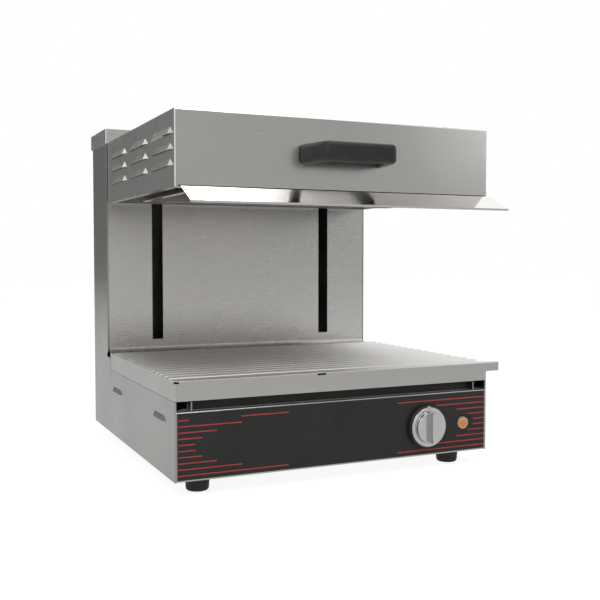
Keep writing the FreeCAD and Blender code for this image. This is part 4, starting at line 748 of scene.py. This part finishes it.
# %% The handle as an open bow
BOW_FRONT_WIDTH = 0.132
BOW_BACK_WIDTH = 0.168
BOW_ARM = 0.016
BOW_BAR = 0.013
BOW_CORNER = 0.008
BOW_CORNER_STEPS = 6
BOW_EDGE = 0.0025
BOW_EDGE_STEPS = 3
BOW_EDGE_ANGLE = math.radians(40.0)
BOW_SMOOTH_ANGLE = math.radians(30.0)
BOW_CUT_PAST = 0.01
bow_low, bow_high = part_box("handle")
bow_base_half = (bow_high.x - bow_low.x) / 2
bow_taper = bow_base_half * (1.0 - BOW_FRONT_WIDTH / BOW_BACK_WIDTH) / (bow_high.y - bow_low.y)


def deselect_mesh(block):
    for part in (*block.data.vertices, *block.data.edges, *block.data.polygons):
        part.select = False


def tapered_block(front_y, back_y, back_half, low_z, high_z):
    """A block that narrows towards the front with the handle's own taper."""
    centre = ((bow_low.x + bow_high.x) / 2, (front_y + back_y) / 2, (low_z + high_z) / 2)
    block = add_block(centre, (2 * back_half, back_y - front_y, high_z - low_z))
    deselect_mesh(block)
    for corner in block.data.vertices:
        corner.select = corner.co.y < centre[1]
    narrowing = (back_half - bow_taper * (back_y - front_y)) / back_half
    bpy.ops.object.mode_set(mode="EDIT")
    bpy.ops.transform.resize(value=(narrowing, 1.0, 1.0), center_override=centre)
    bpy.ops.object.mode_set(mode="OBJECT")
    return block


def round_long_corners(block):
    """Round the four edges that run from the hood to the front."""
    deselect_mesh(block)
    for edge in block.data.edges:
        first, second = (block.data.vertices[index] for index in edge.vertices)
        edge.select = abs(first.co.y - second.co.y) > BOW_ARM
    bpy.ops.object.mode_set(mode="EDIT")
    bpy.ops.mesh.select_mode(type="EDGE")
    bpy.ops.mesh.bevel(offset=BOW_CORNER, segments=BOW_CORNER_STEPS, affect="EDGES")
    bpy.ops.object.mode_set(mode="OBJECT")


def cut_away(piece, tool):
    """Cut the tool's form out of the piece, and remove the tool."""
    bpy.context.view_layer.objects.active = piece
    cut = piece.modifiers.new("cut", "BOOLEAN")
    cut.operation = "DIFFERENCE"
    cut.object = tool
    bpy.ops.object.modifier_apply(modifier="cut")
    bpy.data.objects.remove(tool)


def round_sharp_edges(piece, width, steps, angle):
    """Round the edges at which two faces meet by more than an angle."""
    bpy.context.view_layer.objects.active = piece
    rounding = piece.modifiers.new("rounding", "BEVEL")
    rounding.width = width
    rounding.segments = steps
    rounding.limit_method = "ANGLE"
    rounding.angle_limit = angle
    bpy.ops.object.modifier_apply(modifier="rounding")


def make_bow():
    grip = tapered_block(bow_low.y, bow_high.y, bow_base_half, bow_low.z, bow_high.z)
    round_long_corners(grip)
    space = tapered_block(
        front_y=bow_low.y + BOW_BAR,
        back_y=bow_high.y + BOW_CUT_PAST,
        back_half=bow_base_half + bow_taper * BOW_CUT_PAST - BOW_ARM,
        low_z=bow_low.z - BOW_CUT_PAST,
        high_z=bow_high.z + BOW_CUT_PAST,
    )
    cut_away(grip, space)
    round_sharp_edges(grip, BOW_EDGE, BOW_EDGE_STEPS, BOW_EDGE_ANGLE)
    whole = joined([grip], "handle_bow")
    bpy.ops.object.shade_smooth_by_angle(angle=BOW_SMOOTH_ANGLE)
    return whole


bow = make_bow()
bow.data.materials.append(plastic["handle"])
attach(bow, "hood")
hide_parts("handle")
print("bow in mm", millimetres(bow.dimensions), "faces", len(bow.data.polygons))

# %% [markdown]
# Rope legs inside the column
#
# Inside the column, two wire ropes run from the hood's carriage over pulleys to the counterweight. As the
# hood comes down, the front legs grow longer and the rear legs shorter, and a rigid rear leg would then
# cut into the counterweight. The two legs of a pair are alike, so one is modelled and the other is a
# copy.

# %% Rope legs
ROPE_SIDES = 24
ROPE_RIM = 0.3
ROPE_RIM_STEPS = 2
RIM_ANGLE = math.radians(30.0)
ROPE_SMOOTH_ANGLE = math.radians(40.0)


def copied(piece):
    """A copy with its own mesh."""
    twin = piece.copy()
    twin.data = piece.data.copy()
    bpy.context.scene.collection.objects.link(twin)
    return twin


def rope_legs(node, name):
    """The two legs that stand for a node, hanging from the body down to a moving body."""
    low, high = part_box(node)
    length = high.z - low.z
    radius = (high.y - low.y) / 2
    middle = (low + high) / 2
    place = (low.x + radius, middle.y, middle.z)
    bpy.ops.object.select_all(action="DESELECT")
    bpy.ops.mesh.primitive_cylinder_add(vertices=ROPE_SIDES, radius=radius, depth=length, location=place)
    leg = bpy.context.object
    round_sharp_edges(leg, radius * ROPE_RIM, ROPE_RIM_STEPS, RIM_ANGLE)
    twin = copied(leg)
    twin.location.x = high.x - radius
    whole = joined([leg, twin], name)
    bpy.ops.object.shade_smooth_by_angle(angle=ROPE_SMOOTH_ANGLE)
    whole.data.materials.append(metal["rope"])
    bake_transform(whole)
    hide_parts(node)
    return whole


front_legs = rope_legs("ropes_front", "rope_legs_front")
rear_legs = rope_legs("ropes_back", "rope_legs_back")
print("rope legs, faces", len(front_legs.data.polygons), len(rear_legs.data.polygons))

# %% [markdown]
# Painted shadow in the seam under the hood's front
#
# A thin dark line runs along the foot of the hood's front, above the visor's ledge, where the gap between
# them lies in shadow. A dark stripe in the hood's material would lie flat in the sheet, so the shadow is
# painted on a narrow black strip with rounded edges, which stands out by about a millimetre and catches
# light along its length.

# %% Painted shadow in the seam under the hood's front
SEAM_LENGTH = 0.584
SEAM_HEIGHT = 0.0032
SEAM_STANDS_OUT = 0.0012
SEAM_ROUNDING = 0.35
SEAM_ROUNDING_STEPS = 3
HOOD_FACE = -0.3
LEDGE_TOP = 0.4682


def make_seam_shadow():
    centre = (0.0, HOOD_FACE - SEAM_STANDS_OUT / 2, LEDGE_TOP + SEAM_HEIGHT / 2)
    seam_shadow_strip = add_block(centre, (SEAM_LENGTH, SEAM_STANDS_OUT, SEAM_HEIGHT))
    soften_edges(SEAM_STANDS_OUT * SEAM_ROUNDING, SEAM_ROUNDING_STEPS)
    return joined([seam_shadow_strip], "visor_seam_shadow")


seam = make_seam_shadow()
# The strip is black as painted shadow of the gap above the ledge.
seam.data.materials.append(plastic["handle"])
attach(seam, "hood")
print("seam faces", len(seam.data.polygons))

# %% [markdown]
# Screws
#
# Sheet-metal housings are held with small pan-head screws with a hexagon
# socket. A plain disc would do from far off, but close up a screw is known by
# its rounded rim and its dark socket. So a short cylinder gets a rounded rim, a
# six-sided bar cuts the socket, and the other heads of a group are copies. The
# rear panel has three down each side and two along its top. The photograph
# shows three small dark marks on the ledge below the hood's front, which are
# taken to be the visor's screws.

# %% Screws
SCREW_RADIUS = 0.0038
SCREW_HEIGHT = 0.0022
SCREW_SIDES = 32
SCREW_RIM = 0.4
SCREW_RIM_STEPS = 3
SOCKET_RADIUS = 0.0017
SOCKET_DEPTH = 0.0013
SOCKET_SIDES = 6
REAR_FACE = 0.300
REAR_SCREW_X = 0.288
REAR_SCREW_HEIGHTS = (0.06, 0.31, 0.56)
REAR_TOP_SCREW_X = 0.15
REAR_TOP_SCREW_Z = 0.575
LEDGE_SCREW_Y = -0.3095
LEDGE_SCREW_X = (-0.2155, -0.0087, 0.1865)
FACING_BACK = (math.radians(-90.0), 0.0, 0.0)
FACING_UP = (0.0, 0.0, 0.0)


def screw_head():
    """A pan head with a hexagon socket, its seat at the origin and facing up."""
    middle = (0, 0, SCREW_HEIGHT / 2)
    top = (0, 0, SCREW_HEIGHT)
    bpy.ops.object.select_all(action="DESELECT")
    bpy.ops.mesh.primitive_cylinder_add(
        vertices=SCREW_SIDES, radius=SCREW_RADIUS, depth=SCREW_HEIGHT, location=middle
    )
    head = bpy.context.object
    round_sharp_edges(head, SCREW_HEIGHT * SCREW_RIM, SCREW_RIM_STEPS, RIM_ANGLE)
    bpy.ops.mesh.primitive_cylinder_add(
        vertices=SOCKET_SIDES, radius=SOCKET_RADIUS, depth=2 * SOCKET_DEPTH, location=top
    )
    cut_away(head, bpy.context.object)
    return head


def screws(places, turn, name):
    """Heads at the places, all turned one way: one is modelled, and the others are copies."""
    heads = [screw_head()]
    heads += [copied(heads[0]) for _ in places[1:]]
    for head, place in zip(heads, places):
        head.location = place
        head.rotation_euler = turn
    return joined(heads, name)


rear_places = [(side * REAR_SCREW_X, REAR_FACE, z) for side in (-1, 1) for z in REAR_SCREW_HEIGHTS]
rear_places += [(side * REAR_TOP_SCREW_X, REAR_FACE, REAR_TOP_SCREW_Z) for side in (-1, 1)]
rear_screws = screws(rear_places, FACING_BACK, "rear_screws")
rear_screws.data.materials.append(fastener_steel)
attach(rear_screws, "body")

ledge_places = [(x, LEDGE_SCREW_Y, LEDGE_TOP) for x in LEDGE_SCREW_X]
visor_screws = screws(ledge_places, FACING_UP, "visor_screws")
visor_screws.data.materials.append(plastic["handle"])
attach(visor_screws, "hood")
print("screws", len(rear_places), "behind and", len(ledge_places), "on the ledge")

# %% [markdown]
# The studio
#
# A metal surface shows what stands round it, so the room matters more than the
# lamps. The floor and the world are white, as behind the real object. They
# could be made white by strong lamps, but those would bleach the object too.
# So the floor glows, and the world is at its brightest, only in rays that show
# the background itself: to the eye, in metal or through the lamp's lens.

# %% The floor
WHITE = grey(1.0)
MATT = 0.9
FLOOR_HALF = 12.0
FLOOR_COLOUR = (0.86, 0.86, 0.855)
FLOOR_GLOW_SHARE = 0.7
FLOOR_GLOW = 1.25
FLOOR_GLOW_IN_METAL = 0.82


def seen_directly(tree):
    """1 for a ray that shows the background itself, to the eye or in metal and glass."""
    ray = tree.nodes.new("ShaderNodeLightPath").outputs
    eye_or_metal = calculated(tree, "MAXIMUM", ray["Is Camera Ray"], ray["Is Glossy Ray"])
    return calculated(tree, "MAXIMUM", eye_or_metal, ray["Is Transmission Ray"])


def floor_finish():
    """Matt white that glows in the rays that show it."""
    material, tree, shader = new_finish("studio_floor", MATT)
    shader.inputs["Base Color"].default_value = (*FLOOR_COLOUR, OPAQUE)
    path = tree.nodes.new("ShaderNodeLightPath")
    glow = tree.nodes.new("ShaderNodeEmission")
    strength = spread(tree, path.outputs["Is Camera Ray"], FLOOR_GLOW_IN_METAL, FLOOR_GLOW, 0.0, 1.0)
    tree.links.new(strength, glow.inputs["Strength"])
    mix = tree.nodes.new("ShaderNodeMixShader")
    share = calculated(tree, "MULTIPLY", seen_directly(tree), FLOOR_GLOW_SHARE)
    tree.links.new(share, mix.inputs["Fac"])
    tree.links.new(shader.outputs["BSDF"], mix.inputs[1])
    tree.links.new(glow.outputs["Emission"], mix.inputs[2])
    tree.links.new(mix.outputs["Shader"], tree.nodes["Material Output"].inputs["Surface"])
    return material


def add_floor():
    bpy.ops.object.select_all(action="DESELECT")
    bpy.ops.mesh.primitive_plane_add(size=2 * FLOOR_HALF, location=(0.0, 0.0, cad_low.z))
    floor = bpy.context.object
    floor.name = "studio_floor"
    floor.data.materials.append(floor_finish())


add_floor()
print("floor at", round(cad_low.z, 4))

# %% The world
WORLD_LIGHT = 0.55
WORLD_SEEN = 1.0


def add_world():
    world = bpy.data.worlds.new("studio_world")
    world.use_nodes = True
    tree = world.node_tree
    background = tree.nodes["Background"]
    background.inputs["Color"].default_value = (*WHITE, OPAQUE)
    strength = spread(tree, seen_directly(tree), WORLD_LIGHT, WORLD_SEEN, 0.0, 1.0)
    tree.links.new(strength, background.inputs["Strength"])
    bpy.context.scene.world = world


add_world()
print("world ready")

# %% [markdown]
# The grey cards
#
# In an all-white room, steel goes white too and loses its form. Its colour
# could be made darker, but then the highlights would go as well. Photographers
# stand grey cards round it, out of the picture, and so does this scene: one
# along the left, one across its far end, and one in front at the right. The
# camera doesn't see them, but the steel does.

# %% The grey cards
CARD_TONE = 0.46
FRONT_CARD_TONE = 0.62
CARD_LEFT = -2.2
CARD_NEAR = 0.6
CARD_FAR = 9.0
CARD_REAR_END = -0.5
CARD_HEIGHT = 7.0
FRONT_CARD_START = (0.0, -4.6)
FRONT_CARD_END = (4.2, -3.0)
UPRIGHT = math.radians(90.0)


def add_card(name, corner, opposite, tone):
    """An upright card between two floor points, hidden from the camera itself."""
    low = Vector((*corner, cad_low.z))
    span = Vector((*opposite, cad_low.z)) - low
    bpy.ops.object.select_all(action="DESELECT")
    bpy.ops.mesh.primitive_plane_add(size=1.0, location=low + span / 2 + Vector((0, 0, CARD_HEIGHT / 2)))
    card = bpy.context.object
    card.name = name
    card.scale = (span.length, CARD_HEIGHT, 1.0)
    card.rotation_euler = (UPRIGHT, 0.0, math.atan2(span.y, span.x))
    material, _, shader = new_finish(name, MATT)
    shader.inputs["Base Color"].default_value = (*grey(tone), OPAQUE)
    card.data.materials.append(material)
    card.visible_camera = False


add_card("card_left", (CARD_LEFT, CARD_NEAR), (CARD_LEFT, CARD_FAR), CARD_TONE)
add_card("card_rear", (CARD_LEFT, CARD_FAR), (CARD_REAR_END, CARD_FAR), CARD_TONE)
add_card("card_front", FRONT_CARD_START, FRONT_CARD_END, FRONT_CARD_TONE)

# %% [markdown]
# The lamps
#
# Large soft lamps give the black mouldings their form and draw no hard edges on
# the steel. A single strong lamp would be simpler, but it would show as a hot
# spot in the steel. One lamp in front and above is meant for the bright visor,
# and a weak one behind the left side picks out the pressed louvres.

# %% The lamps
# Each lamp's place, its size in metres and its power in watts.
LAMPS = {
    "lamp_key": ((-2.2, -2.6, 2.6), 1.8, 30.0),
    "lamp_fill": ((2.8, -2.4, 1.8), 2.0, 8.0),
    "lamp_top": ((0.2, 0.3, 3.2), 2.4, 26.0),
    "lamp_visor": ((0.5, -2.3, 2.7), 1.0, 18.0),
    "lamp_louvres": ((-1.5, 1.9, 1.7), 0.5, 1.5),
}


def add_lamp(name, place, size, power):
    """A square soft lamp that points at the middle of the object."""
    data = bpy.data.lights.new(name, "AREA")
    data.shape = "SQUARE"
    data.size = size
    data.energy = power
    lamp = bpy.data.objects.new(name, data)
    lamp.location = place
    aim = (cad_low + cad_high) / 2 - Vector(place)
    lamp.rotation_euler = aim.to_track_quat("-Z", "Y").to_euler()
    bpy.context.scene.collection.objects.link(lamp)


for name, (place, size, power) in LAMPS.items():
    add_lamp(name, place, size, power)
print("lamps", len(LAMPS))

# %% [markdown]
#
# Standard shows a colour as it is written, where other settings would bend it for effect. The last cell
# sets it.

# %% Colour management
bpy.context.scene.view_settings.view_transform = "Standard"
